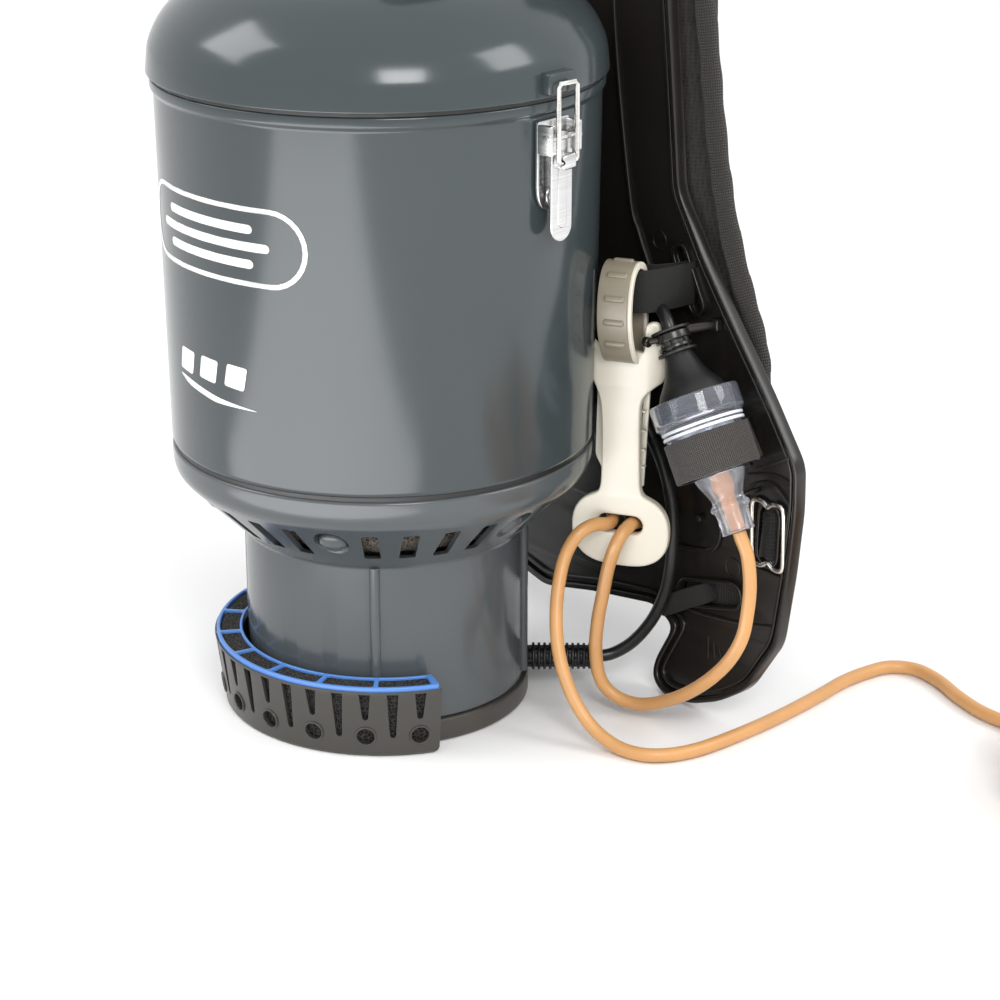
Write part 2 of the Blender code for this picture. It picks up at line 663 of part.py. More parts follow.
def make_switch():
    frame = empty("switch_frame", (0, 0, 0), SWITCH_ANGLE)
    bezel = box((0.0200, 0.0024, 0.0290), (0, -0.0726, SWITCH_Z), bevel=0.0006)
    cut(bezel, box((0.0138, 0.012, 0.0222), (0, -0.0726, SWITCH_Z)))
    finish(bezel, "switch_bezel", "black_plastic", parent=frame)
    tilt = Matrix.Rotation(math.radians(8), 4, "X")
    rocker = box((0.0130, 0.0072, 0.0200), (0, -SWITCH_PIVOT_R, SWITCH_Z), bevel=0.0008,
                 turn=tilt)
    finish(rocker, "switch_rocker", "red_plastic", (0, -SWITCH_PIVOT_R, SWITCH_Z), frame)


# ---- flex, plug and lead -----------------------------------------------------------
def make_strain_relief():
    profile = [(0, RELIEF_END), (0.0060, RELIEF_END)]
    rings = 7
    pitch = 0.0044
    for i in range(rings):
        edge = RELIEF_END - 0.0006 - i * pitch
        radius = 0.0067 + 0.0004 * i / rings
        profile += [(radius, edge), (radius, edge - 0.0022), (0.0046, edge - 0.0026),
                    (0.0046, edge - 0.0040)]
    profile += [(0.0041, 0.0730), (0.0041, 0.0680), (0, 0.0680)]
    relief = turned(profile, 10)
    place(relief, Matrix.Rotation(math.pi / 2, 4, "X"))
    place(relief, turn_to(RELIEF_ANGLE) @ Matrix.Translation((0, 0, RELIEF_Z)))
    finish(relief, "flex_strain_relief", "rubber")


def make_flex():
    x, y = polar(1.0, RELIEF_ANGLE)
    outwards = Vector((x, y, 0))
    start = outwards * (RELIEF_END + GAP) + Vector((0, 0, RELIEF_Z))
    axis = (PLUG_TOP - PLUG_END).normalized()
    end = PLUG_TOP + axis * GAP
    route = [start + outwards * STUB, *FLEX_ROUTE, end + axis * STUB]
    points = [start, *spaced(route, 0.0110), end]
    finish(tube(points, FLEX_R), "machine_flex", "black_cord")


def plug_place():
    """Carry +Z at the origin to the plug's axis, from its tail end up to its neck."""
    axis = (PLUG_TOP - PLUG_END).normalized()
    return Matrix.Translation(PLUG_END) @ axis.to_track_quat("Z", "Y").to_matrix().to_4x4()


def make_plug_and_socket():
    at = plug_place()
    length = (PLUG_TOP - PLUG_END).length
    plug = turned([(0, length), (0.0055, length), (0.0060, length - 0.008),
                   (0.0080, length - 0.014), (0.0140, length - 0.026), (0.0178, length - 0.035),
                   (0.0178, length - 0.0415), (0, length - 0.0415)], 18)
    finish(place(plug, at), "machine_plug", "rubber")
    top = length - 0.0345
    socket = turned([(0.0224, top), (0.0224, top - 0.0120), (0.0205, top - 0.0135),
                     (0.0205, top - 0.0180), (0.0192, top - 0.0190), (0.0192, 0.0300),
                     (0, 0.0300), (0, top - 0.0073), (0.0182, top - 0.0073), (0.0182, top)],
                    28)
    finish(place(socket, at), "lead_socket", "clear_plastic")
    boot = turned([(0, 0.0297), (0.0120, 0.0297), (0.0125, 0.0260), (0.0085, 0.0170),
                   (0.0098, 0.0130), (0.0085, 0.0100), (0.0075, 0.0), (0, 0.0)], 14)
    finish(place(boot, at), "lead_socket_boot", "clear_plastic")
    band = turned([(0.0213, 0.0502), (0.0213, 0.0302), (0.0197, 0.0302), (0.0197, 0.0502)], 16)
    finish(place(band, at), "socket_strap", "webbing")


def make_plug_clip():
    """The moulded arm that holds the plug's neck to the back plate."""
    at = plug_place()
    length = (PLUG_TOP - PLUG_END).length
    low, high = length - 0.0065, length - 0.0025
    ring = turned([(0.0088, high), (0.0088, low), (0.0065, low), (0.0065, high)], 16)
    place(ring, at)
    arm = box((0.0145, 0.0040, 0.0044), (0.1174, 0.1044, 0.2010),
              turn=Matrix.Rotation(math.radians(75), 4, "Z"))
    foot = box((0.0060, 0.0040, 0.0060), (0.1190, 0.1126, 0.2010))
    finish(unite(ring, arm, foot), "plug_clip", "black_plastic")


def make_lead():
    axis = (PLUG_TOP - PLUG_END).normalized()
    start = PLUG_END - axis * GAP
    wall = COIL_CENTRE[0] - COIL_OUTER - GAP
    end = Vector((wall, COIL_CENTRE[1], 0.0038))
    route = [start - axis * STUB, *LEAD_ROUTE, end - Vector((STUB, 0, 0))]
    finish(tube([start, *spaced(route, 0.0150), end], LEAD_R), "lead", "orange_cord")
    coil = turned([(COIL_OUTER - 0.006, COIL_HEIGHT), (COIL_OUTER, COIL_HEIGHT - 0.008),
                   (COIL_OUTER, 0.006), (COIL_OUTER - 0.005, 0.0002), (COIL_INNER + 0.005, 0.0002),
                   (COIL_INNER, 0.006), (COIL_INNER, COIL_HEIGHT - 0.008),
                   (COIL_INNER + 0.006, COIL_HEIGHT)], 20)
    place(coil, Matrix.Translation((*COIL_CENTRE, 0)))
    finish(coil, "lead_coil", "orange_cord")


def make_lead_plug():
    """The mains plug, lying on the floor by the coil."""
    x = COIL_CENTRE[0] + COIL_OUTER + 0.0150
    y = COIL_CENTRE[1] - 0.0750
    body = box((0.0360, 0.0500, 0.0240), (x, y, 0.0123), bevel=0.004)
    neck = rod(0.0070, 0.0160, (x, y + 0.0320, 0.0123), axis="Y", sides=16)
    pins = group([box((0.0016, 0.0190, 0.0063), (x + dx, y - 0.0330, z))
                  for dx, z in ((-0.007, 0.0085), (0.007, 0.0085), (0.0, 0.0180))])
    finish(unite(body, neck, pins), "lead_plug", "orange_cord")


# ---- cord hook ---------------------------------------------------------------------
def hook_body_outline():
    """Disc, arm and collar, seen from the front."""
    disc = [(0.0252 * math.copysign(abs(math.cos(a)) ** 0.7, math.cos(a)),
             0.0955 + 0.0192 * math.copysign(abs(math.sin(a)) ** 0.85, math.sin(a)))
            for a in (math.radians(d) for d in range(-240, 61, 15))]
    arm = [(0.0100, 0.1170), (0.0088, 0.1500), (0.0100, 0.1680), (0.0175, 0.1800),
           (0.0175, 0.1850), (-0.0120, 0.1850), (-0.0120, 0.1720), (-0.0098, 0.1500),
           (-0.0105, 0.1170)]
    return disc + arm


def arch_outline():
    """The hoop of the hook from the side: out from the collar, over and down behind."""
    outer, inner = 0.0150, 0.0118
    centre = 0.2185
    points = [(-outer, 0.1840)]
    points += [(-outer * math.cos(a), centre + outer * math.sin(a))
               for a in (math.radians(20 * i) for i in range(10))]
    points += [(outer, 0.1840), (inner, 0.1840)]
    points += [(inner * math.cos(a), centre + inner * math.sin(a))
               for a in (math.radians(20 * i) for i in range(10))]
    points += [(-inner, 0.1840)]
    return points


def make_cord_hook():
    at = Matrix.Translation(HOOK_ORIGIN) @ turn_to(HOOK_ANGLE)
    body = plate_prism(hook_body_outline(), 0.0, 0.0050)
    arch = prism(arch_outline(), -0.0085, 0.0085)
    place(arch, Matrix(((0, 0, 1, 0), (1, 0, 0, 0.0), (0, 1, 0, 0), (0, 0, 0, 1))))
    foot = box((0.0240, 0.0300, 0.0090), (0.0, 0.0, 0.1800), bevel=0.002)
    spine = box((0.0030, 0.0090, 0.0650), (0.0060, 0.0075, 0.1480))
    grips = group([box((0.0110, 0.0016, 0.0014), (0, -0.0152, z))
                   for z in (0.190, 0.199, 0.208, 0.217)])
    unite(body, foot, spine, arch, grips)
    cut(body, plate_prism(obround(0.0236, 0.0094, (0, SLOT_Z)), -0.010, 0.020))
    finish(place(body, at), "cord_hook", "ivory_plastic")


def make_hook_webbing():
    """The web loop from the back plate round the hoop's rear leg."""
    at = Matrix.Translation(HOOK_ORIGIN) @ turn_to(HOOK_ANGLE)
    near = [(0.0105, 0.0054), (-0.0090, 0.0050), (-0.0108, 0.0110), (-0.0090, 0.0172),
            (0.0110, 0.0172)]
    path = [at @ Vector((x, y, HOOK_WEB_Z)) for x, y in near]
    path += [Vector((0.0985, 0.1135, HOOK_WEB_Z)), Vector((0.1010, 0.1135, HOOK_WEB_Z))]
    finish(ribbon(path, (0, 0, 0.0160), 0.0012, closed=True), "hook_webbing", "webbing")


# ---- back plate and harness --------------------------------------------------------
def plate_outline():
    right = PLATE_HALF[:-1]
    left = [(-x, z) for x, z in PLATE_HALF[:0:-1]]
    return [*right, *left]


def mirrored(points):
    return [(-x, z) for x, z in reversed(points)]


def plate_slots():
    slots = []
    for outline in (obround(0.0440, 0.0120, (0.1195, 0.0595), 14),
                    obround(0.0310, 0.0120, RING_CENTRE, 88),
                    obround(0.0340, 0.0080, (0.0985, 0.2190), -62)):
        slots += [outline, mirrored(outline)]
    return group([plate_prism(o, 0.100, 0.130) for o in slots])


def lean_feet(plate):
    """Fold the plate forward along a level line just above its feet."""
    bm = bmesh.new()
    bm.from_mesh(plate.data)
    bmesh.ops.bisect_plane(bm, geom=bm.verts[:] + bm.edges[:] + bm.faces[:],
                           plane_co=(0, 0, FOOT_BEND_Z), plane_no=(0, 0, 1))
    for vert in bm.verts:
        vert.co.y -= FOOT_LEAN * max(0.0, FOOT_BEND_Z - vert.co.z)
    bmesh.ops.triangulate(bm, faces=bm.faces)
    bm.to_mesh(plate.data)
    bm.free()
    return plate


def make_back_plate():
    outline = plate_outline()
    plate = plate_prism(outline, PLATE_FRONT, PLATE_BACK)
    inner = [(p.x, p.y) for p in shrink(outline, PLATE_RIM)]
    cut(plate, plate_prism(inner, PLATE_FRONT - 0.01, PLATE_FACE))
    cut(plate, plate_slots())
    grip = plate_prism(obround(0.0900, 0.0220, (0, 0.4180)), 0.100, 0.130)
    finish(lean_feet(cut(plate, grip)), "back_plate", "black_plastic")


def make_tank_brackets():
    """The two blocks that carry the canister on the back plate."""
    for name, z in (("bracket_lower", 0.1650), ("bracket_upper", 0.2850)):
        block = box((0.0500, 0.0140, 0.0300), (0, 0.1077, z))
        cut(block, turned([(0, z + 0.03), (0.1074, z + 0.03), (0.1074, z - 0.03),
                           (0, z - 0.03)]))
        finish(block, name, "black_plastic")


def make_strap_rings():
    for side, sign in SIDES:
        centre = (sign * RING_CENTRE[0], RING_CENTRE[1])
        outline = obround(0.0342, 0.0212, centre, sign * 88)
        ring = tube([(x, PLATE_FACE - GAP - 0.0016, z) for x, z in outline], 0.0014, cyclic=True)
        finish(ring, "strap_ring_" + side, "steel")


def pad_outline():
    half = [(0.0, 0.060), (0.060, 0.062), (0.105, 0.085), (0.131, 0.130), (0.1395, 0.158),
            (0.1415, 0.172), (0.1398, 0.186), (0.1350, 0.200), (0.1280, 0.215), (0.1205, 0.233),
            (0.1125, 0.256), (0.1050, 0.290), (0.0960, 0.350), (0.0890, 0.380), (0.066, 0.3980),
            (0.0, 0.4030)]
    left = [(-x, z) for x, z in half[:0:-1]]
    return [*half, *left]


def make_pads():
    pad = plate_prism(pad_outline(), 0.1215, PAD_FRONT)
    finish(pad, "back_pad", "mesh_fabric")


def flat_widths(route, width):
    """The direction across a strap that lies against the pad, at each point."""
    result = []
    for i in range(len(route)):
        ahead = Vector(route[min(i + 1, len(route) - 1)]) - Vector(route[max(i - 1, 0)])
        across = Vector((-ahead.z, 0.0, ahead.x))
        if across.length < abs(ahead.y):
            across = result[-1]
        result.append(across.normalized() * width)
    return result


def make_shoulder_straps():
    for side, sign in SIDES:
        x = sign * STRAP_X
        path = [Vector((x, y, z)) for y, z in STRAP_PATH]
        finish(ribbon(path, (0.0540, 0, 0), 0.0100), "shoulder_strap_" + side, "mesh_fabric")
        route = [(sign * p[0], p[1], p[2]) for p in LOWER_WEBBING]
        finish(ribbon(route, flat_widths(route, 0.0220), 0.0014), "lower_webbing_" + side,
               "webbing")


def make_strap_adjusters():
    """The ladder-lock buckles at the straps' lower ends."""
    for side, sign in SIDES:
        x = sign * STRAP_X
        frame = box((0.0340, 0.0060, 0.0240), (x, 0.1545, 0.1690), bevel=0.001)
        slots = group([box((0.0260, 0.020, 0.0040), (x, 0.1545, 0.1690 + dz))
                       for dz in (-0.006, 0.006)])
        finish(cut(frame, slots), "strap_adjuster_" + side, "black_plastic")


def make_belt():
    for side, sign in SIDES:
        path = [Vector((sign * x, y, 0.0760)) for x, y in
                ((0.1200, 0.1510), (0.1190, 0.1580), (0.1100, 0.1660), (0.0900, 0.1725),
                 (0.0600, 0.1750))]
        finish(ribbon(smooth(path, 2), (0, 0, 0.0400), 0.0080), "belt_wing_" + side, "mesh_fabric")
    y = 0.1830
    socket = box((0.0440, 0.0100, 0.0300), (0.0120, y, 0.0760), bevel=0.002)
    fixed = box((0.0530, 0.0016, 0.0240), (0.0600, y, 0.0760))
    finish(unite(socket, fixed), "buckle_socket", "black_plastic")
    male = box((0.0200, 0.0090, 0.0280), (-0.0205, y, 0.0760), bevel=0.002)
    web = box((0.0600, 0.0016, 0.0240), (-0.0600, y, 0.0760))
    tail = unite(male, web)
    finish(tail, "buckle_tongue", "black_plastic", (-0.0205, y, 0.0760))


def make_handle():
    half = [(-0.0500, 0.4348), (-0.0505, 0.4480), (-0.0430, 0.4615), (-0.0260, 0.4692),
            (0.0, 0.4710)]
    ends = half + [(-x, z) for x, z in half[-2::-1]]
    arch = smooth([(x, 0.1150, z) for x, z in ends], 2)
    finish(tube(arch, 0.0030, resolution=2), "carry_handle", "black_plastic")


clear_scene()
PARTS = collection(NAME)
CUTTERS = collection("cutters", hidden=True)

make_base_cap()
make_motor_housing()
make_tank()
make_tank_fittings()
make_lid()
make_hose_inlet()
for latch_side, latch_angle in LATCH_ANGLES.items():
    make_latch(latch_side, latch_angle)
make_exhaust_cover()
make_exhaust_filter()
make_motor()
make_switch()
make_strain_relief()
make_flex()
make_plug_and_socket()
make_plug_clip()
make_lead()
make_lead_plug()
make_cord_hook()
make_hook_webbing()
make_back_plate()
make_tank_brackets()
make_strap_rings()
make_pads()
make_shoulder_straps()
make_strap_adjusters()
make_belt()
make_handle()
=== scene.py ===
"""Backpack vacuum cleaner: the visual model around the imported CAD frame.

Metres, +Z up. Angles round the canister are counted from -Y towards +X.
"""
import math

import bmesh
import bpy
from mathutils import Matrix, Vector, noise


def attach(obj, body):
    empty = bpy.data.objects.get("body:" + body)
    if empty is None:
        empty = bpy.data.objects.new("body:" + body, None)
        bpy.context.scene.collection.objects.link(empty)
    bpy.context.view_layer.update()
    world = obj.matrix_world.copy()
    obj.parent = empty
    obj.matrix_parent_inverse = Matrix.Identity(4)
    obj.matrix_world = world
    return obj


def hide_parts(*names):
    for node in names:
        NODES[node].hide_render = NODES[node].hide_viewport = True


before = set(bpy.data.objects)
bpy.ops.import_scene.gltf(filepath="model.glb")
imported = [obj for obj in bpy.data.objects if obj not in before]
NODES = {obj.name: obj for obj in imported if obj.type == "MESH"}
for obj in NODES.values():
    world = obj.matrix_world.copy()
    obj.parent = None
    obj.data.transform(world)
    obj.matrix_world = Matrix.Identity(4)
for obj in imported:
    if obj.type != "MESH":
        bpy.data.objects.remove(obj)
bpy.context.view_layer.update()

# ---- sizes shared with the CAD model -----------------------------------------------
RIM_Z = 0.3220
LID_TOP = 0.3800
NECK_R = 0.0705
SCREW_R = 0.0905
SCREW_ANGLES = range(36, 396, 60)
VENT_ANGLES = [a for a in range(0, 360, 12) if a not in (36, 96, 156, 216, 276, 336)]
RIB_ANGLES = (48, -48, 132, -132)
EXHAUST_HALF = 70
CELLS = 7
CELL_PITCH = 19.4
SLOT_PITCH = 9
COVER_TOP = 0.0340
FRAME_TOP = 0.0383
RELIEF_ANGLE = 140
RELIEF_Z = 0.0175
RELIEF_END = 0.1055
SWITCH_ANGLE = -112
LATCHES = (("right", 99), ("left", -99))
CUFF = (0.0440, 0, 0.4260)
FLEX_R = 0.0032
LEAD_R = 0.0034
LEAD_REST = 0.0038
STUB = 0.0035
GAP = 0.0003
PLATE_FRONT = 0.1115
PLATE_FACE = 0.1150
PLATE_BACK = 0.1185
FOOT_BEND_Z = 0.0450
FOOT_LEAN = 0.25
HOOK_ORIGIN = Vector((0.0924, 0.0760, 0.0))
HOOK_ANGLE = 30
HOOK_SLOT_Z = 0.0985
WING_SWEEP = 34.0
PLUG_TOP = Vector((0.1090, 0.0915, 0.2010))
PLUG_END = Vector((0.1605, 0.0915, 0.1105))
PLUG_LENGTH = (PLUG_TOP - PLUG_END).length
PLUG_AXIS = (PLUG_TOP - PLUG_END).normalized()
RING_CENTRE = (0.1590, 0.1030)
SIDES = (("right", 1), ("left", -1))

PLATE_HALF = [(0.000, 0.029), (0.036, 0.0363), (0.0815, 0.0428), (0.098, 0.036), (0.090, 0.016),
              (0.091, 0.007), (0.101, 0.001), (0.121, 0.003), (0.139, 0.010), (0.155, 0.021),
              (0.169, 0.048), (0.175, 0.086), (0.1785, 0.120), (0.178, 0.143), (0.157, 0.1725),
              (0.133, 0.203), (0.111, 0.232), (0.092, 0.262), (0.088, 0.300), (0.083, 0.345),
              (0.078, 0.390), (0.066, 0.424), (0.040, 0.438), (0.000, 0.441)]

PAD_HALF = [(0.0, 0.060), (0.060, 0.062), (0.105, 0.085), (0.131, 0.130), (0.1395, 0.158),
            (0.1415, 0.172), (0.1398, 0.186), (0.1350, 0.200), (0.1280, 0.215), (0.1205, 0.233),
            (0.1125, 0.256), (0.1050, 0.290), (0.0960, 0.350), (0.0890, 0.380), (0.066, 0.3980),
            (0.0, 0.4030)]

STRAP_X = 0.0480
STRAP_PATH = [(0.1275, 0.4330), (0.1280, 0.4480), (0.1330, 0.4570), (0.1420, 0.4590),
              (0.1490, 0.4520), (0.1515, 0.4350), (0.1510, 0.4000), (0.1500, 0.3300),
              (0.1505, 0.2600), (0.1520, 0.2150), (0.1535, 0.1860)]
LOWER_WEBBING = [(0.0480, 0.1545, 0.1553), (0.0490, 0.1545, 0.1440), (0.0570, 0.1540, 0.1320),
                 (0.0740, 0.1530, 0.1235), (0.0980, 0.1510, 0.1160), (0.1220, 0.1470, 0.1090),
                 (0.1430, 0.1400, 0.1050), (0.1540, 0.1310, 0.1035), (0.1590, 0.1210, 0.1030),
                 (0.1590, 0.1090, 0.1030)]

COIL_CENTRE = Vector((0.3620, 0.2060, 0.0))
COIL_OUTER_TURN = 0.0892
COIL_COLUMNS = 7
COIL_LAYERS = 6
COIL_COLUMN_PITCH = 0.0076
COIL_LAYER_PITCH = 0.0074
PLUG_AT = (0.4700, 0.1310, 0.0123)

FLEX_ROUTE = [(0.0740, 0.0900, 0.0185), (0.0805, 0.0975, 0.0250), (0.0885, 0.1030, 0.0380),
              (0.0955, 0.1050, 0.0540), (0.1000, 0.1045, 0.0700), (0.1015, 0.1040, 0.0860),
              (0.1000, 0.1045, 0.1010), (0.0960, 0.1052, 0.1150), (0.0880, 0.1060, 0.1280),
              (0.0785, 0.1060, 0.1405), (0.0720, 0.1055, 0.1550), (0.0695, 0.1045, 0.1700),
              (0.0710, 0.1030, 0.1850), (0.0765, 0.1012, 0.1980), (0.0850, 0.0992, 0.2050),
              (0.0940, 0.0968, 0.2075), (0.1010, 0.0938, 0.2078)]

LEAD_ROUTE = [(0.1661, 0.0921, 0.0996), (0.1702, 0.0903, 0.0862), (0.1718, 0.0876, 0.0730),
              (0.1712, 0.0849, 0.0599), (0.1658, 0.0814, 0.0468), (0.1556, 0.0783, 0.0344),
              (0.1424, 0.0760, 0.0232), (0.1264, 0.0748, 0.0136), (0.1122, 0.0724, 0.0082),
              (0.1006, 0.0680, 0.0097), (0.0937, 0.0636, 0.0179), (0.0908, 0.0625, 0.0335),
              (0.0905, 0.0641, 0.0499), (0.0924, 0.0658, 0.0654), (0.0945, 0.0673, 0.0796),
              (0.0975, 0.0688, 0.0901), (0.0983, 0.0726, 0.0963), (0.0970, 0.0788, 0.0987),
              (0.0938, 0.0850, 0.0975), (0.0925, 0.0930, 0.0965), (0.0885, 0.1000, 0.0965),
              (0.0815, 0.1035, 0.0975), (0.0740, 0.1020, 0.0990), (0.0705, 0.0955, 0.1000),
              (0.0745, 0.0880, 0.1010), (0.0825, 0.0805, 0.0990), (0.0877, 0.0732, 0.0983),
              (0.0872, 0.0628, 0.0998), (0.0853, 0.0543, 0.0960), (0.0838, 0.0476, 0.0858),
              (0.0866, 0.0411, 0.0736), (0.0909, 0.0358, 0.0614), (0.0960, 0.0321, 0.0486),
              (0.1025, 0.0300, 0.0363), (0.1100, 0.0300, 0.0243), (0.1184, 0.0317, 0.0141),
              (0.1277, 0.0340, 0.0075), (0.1390, 0.0371, 0.0038), (0.1514, 0.0418, 0.0038),
              (0.1594, 0.0527, 0.0038), (0.1633, 0.0687, 0.0038), (0.1635, 0.0950, 0.0038),
              (0.1614, 0.1247, 0.0038), (0.1570, 0.1560, 0.0038), (0.1530, 0.1780, 0.0038),
              (0.1525, 0.1960, 0.0038), (0.1554, 0.2117, 0.0038), (0.1672, 0.2198, 0.0038),
              (0.1850, 0.2175, 0.0038), (0.2050, 0.2100, 0.0038), (0.2260, 0.2050, 0.0038),
              (0.2440, 0.2045, 0.0038), (0.2560, 0.2050, 0.0038)]
# from the visible lead's end into the coil's first turn, and from its last turn to the plug
COIL_ENTRY = [(0.2470, 0.2065, 0.0038), (0.2620, 0.2135, 0.0038), (0.2750, 0.2260, 0.0038),
              (0.2870, 0.2430, 0.0038), (0.2990, 0.2620, 0.0038)]
COIL_EXIT = [(0.4357, 0.2684, 0.0330), (0.4530, 0.2450, 0.0260), (0.4630, 0.2180, 0.0180),
             (0.4680, 0.1950, 0.0135), (0.4700, 0.1800, 0.0123)]


# ---- materials ---------------------------------------------------------------------
def add_node(tree, kind, inputs=None, **props):
    node = tree.nodes.new(kind)
    for name, value in props.items():
        setattr(node, name, value)
    for name, value in (inputs or {}).items():
        if isinstance(value, bpy.types.NodeSocket):
            tree.links.new(value, node.inputs[name])
        else:
            node.inputs[name].default_value = value
    return node


def base_material(name, roughness, metallic=0.0, **sockets):
    mat = bpy.data.materials.new(name)
    mat.use_nodes = True
    shader = mat.node_tree.nodes["Principled BSDF"]
    shader.inputs["Roughness"].default_value = roughness
    shader.inputs["Metallic"].default_value = metallic
    for socket, value in sockets.items():
        shader.inputs[socket.replace("_", " ")].default_value = value
    return mat, mat.node_tree, shader


def coordinates(tree, kind="Object"):
    return add_node(tree, "ShaderNodeTexCoord").outputs[kind]


def noise_texture(tree, coords, scale, detail=3.0):
    return add_node(tree, "ShaderNodeTexNoise",
                    {"Vector": coords, "Scale": scale, "Detail": detail}).outputs["Fac"]


def ramp(tree, factor, stops):
    node = add_node(tree, "ShaderNodeValToRGB", {"Fac": factor})
    while len(node.color_ramp.elements) < len(stops):
        node.color_ramp.elements.new(0.5)
    for element, (place_at, colour) in zip(node.color_ramp.elements, stops):
        element.position = place_at
        element.color = (*colour, 1.0)
    return node.outputs["Color"]


def shade(colour, share):
    return tuple(min(1.0, c * share) for c in colour)


def clouded(tree, factor, colour, dark, light):
    """The colour varied between two shares of itself."""
    return ramp(tree, factor, [(0.3, shade(colour, dark)), (0.7, shade(colour, light))])


def scuffed(tree, factor, roughness, low, high):
    """The roughness varied between two shares of itself."""
    return add_node(tree, "ShaderNodeMapRange",
                    {"Value": factor, "To Min": roughness * low,
                     "To Max": roughness * high}).outputs["Result"]


def feed(shader, **outputs):
    for socket, output in outputs.items():
        shader.id_data.links.new(output, shader.inputs[socket.replace("_", " ")])


def bump(tree, height, strength, distance, previous=None):
    inputs = {"Height": height, "Strength": strength, "Distance": distance}
    if previous is not None:
        inputs["Normal"] = previous
    return add_node(tree, "ShaderNodeBump", inputs).outputs["Normal"]


def moulded(name, colour, roughness, texture=0.25, speckle=900.0, spread=0.06, **sockets):
    """Moulded plastic or rubber: faint cloudy colour, fine surface texture, scuffed gloss."""
    mat, tree, shader = base_material(name, roughness, **sockets)
    coords = coordinates(tree)
    cloud = noise_texture(tree, coords, 14.0)
    scuffs = noise_texture(tree, coords, 60.0, 6.0)
    fine = noise_texture(tree, coords, speckle, 2.0)
    feed(shader, Base_Color=clouded(tree, cloud, colour, 1 - spread, 1 + spread),
         Roughness=scuffed(tree, scuffs, roughness, 0.85, 1.2),
         Normal=bump(tree, fine, texture, 0.00008))
    return mat


def plated(name, colour, roughness, streaks=(40.0, 40.0, 1600.0)):
    """Metal with fine drawn streaks."""
    mat, tree, shader = base_material(name, roughness, 1.0)
    coords = add_node(tree, "ShaderNodeMapping",
                      {"Vector": coordinates(tree), "Scale": streaks}).outputs["Vector"]
    lines = noise_texture(tree, coords, 1.0, 4.0)
    feed(shader, Base_Color=clouded(tree, lines, colour, 0.85, 1.1),
         Roughness=scuffed(tree, lines, roughness, 0.7, 1.4),
         Normal=bump(tree, lines, 0.12, 0.00005))
    return mat


def waves(tree, coords, period, direction):
    """Even bands across one axis, from 0 to 1, with the given period in metres."""
    return add_node(tree, "ShaderNodeTexWave",
                    {"Vector": coords, "Scale": 0.3142 / period, "Distortion": 0.0},
                    bands_direction=direction).outputs["Fac"]


def maths(tree, operation, a, b):
    return add_node(tree, "ShaderNodeMath", {0: a, 1: b}, operation=operation).outputs["Value"]


def woven(name, dark, light, pitch, coords="UV", strength=0.9, depth=0.0003, sheen=0.12):
    """Cloth of crossing threads, with fluff and a slight sheen."""
    mat, tree, shader = base_material(name, 0.85, Sheen_Weight=sheen, Sheen_Roughness=0.4)
    at = coordinates(tree, coords)
    warp = waves(tree, at, pitch, "X")
    weft = waves(tree, at, pitch * 1.25, "Y")
    threads = maths(tree, "MULTIPLY", warp, weft)
    fluff = noise_texture(tree, coordinates(tree), 1500.0, 4.0)
    mixed = maths(tree, "MULTIPLY", maths(tree, "ADD", threads, 0.15), fluff)
    normal = bump(tree, threads, strength, depth)
    feed(shader, Base_Color=ramp(tree, mixed, [(0.05, dark), (0.55, light)]),
         Normal=bump(tree, fluff, 0.3, 0.0002, normal))
    return mat


def spacer_mesh(name, dark, light, cell):
    """Padding's outer fabric: small round holes in a soft knitted net."""
    mat, tree, shader = base_material(name, 0.95, Sheen_Weight=0.12, Sheen_Roughness=0.5)
    at = coordinates(tree)
    holes = add_node(tree, "ShaderNodeTexVoronoi", {"Vector": at, "Scale": 1.0 / cell,
                                                    "Randomness": 0.25}).outputs["Distance"]
    fluff = noise_texture(tree, at, 1400.0, 4.0)
    height = maths(tree, "ADD", holes, maths(tree, "MULTIPLY", fluff, 0.25))
    feed(shader, Base_Color=ramp(tree, height, [(0.25, dark), (0.75, light)]),
         Normal=bump(tree, height, 0.8, 0.0006))
    return mat


def open_foam(name, dark, light, cell):
    """Reticulated foam: pale strands round dark pores."""
    mat, tree, shader = base_material(name, 0.9)
    at = coordinates(tree)
    pores = add_node(tree, "ShaderNodeTexVoronoi", {"Vector": at, "Scale": 1.0 / cell},
                     feature="DISTANCE_TO_EDGE").outputs["Distance"]
    depth = maths(tree, "SUBTRACT", 0.4, maths(tree, "MINIMUM", pores, 0.4))
    feed(shader, Base_Color=ramp(tree, pores, [(0.02, light), (0.16, dark)]),
         Normal=bump(tree, depth, 1.0, 0.0012))
    return mat


def clear(name, colour, roughness=0.12, weight=0.9):
    """Clear moulding with faint flow lines inside it."""
    mat, tree, shader = base_material(name, roughness, Transmission_Weight=weight, IOR=1.46)
    flow = noise_texture(tree, coordinates(tree), 45.0, 2.0)
    feed(shader, Base_Color=ramp(tree, flow, [(0.35, shade(colour, 0.9)), (0.7, colour)]),
         Normal=bump(tree, flow, 0.08, 0.0003))
    return mat


def sheath(name, colour, roughness, **sockets):
    """A cord's extruded sheath, with faint waves left by its twisted cores."""
    mat, tree, shader = base_material(name, roughness, **sockets)
    at = coordinates(tree)
    cloud = noise_texture(tree, at, 55.0)
    fine = noise_texture(tree, at, 1100.0, 2.0)
    normal = bump(tree, cloud, 0.35, 0.0004)
    feed(shader, Base_Color=clouded(tree, cloud, colour, 0.94, 1.05),
         Normal=bump(tree, fine, 0.15, 0.00006, normal))
    return mat


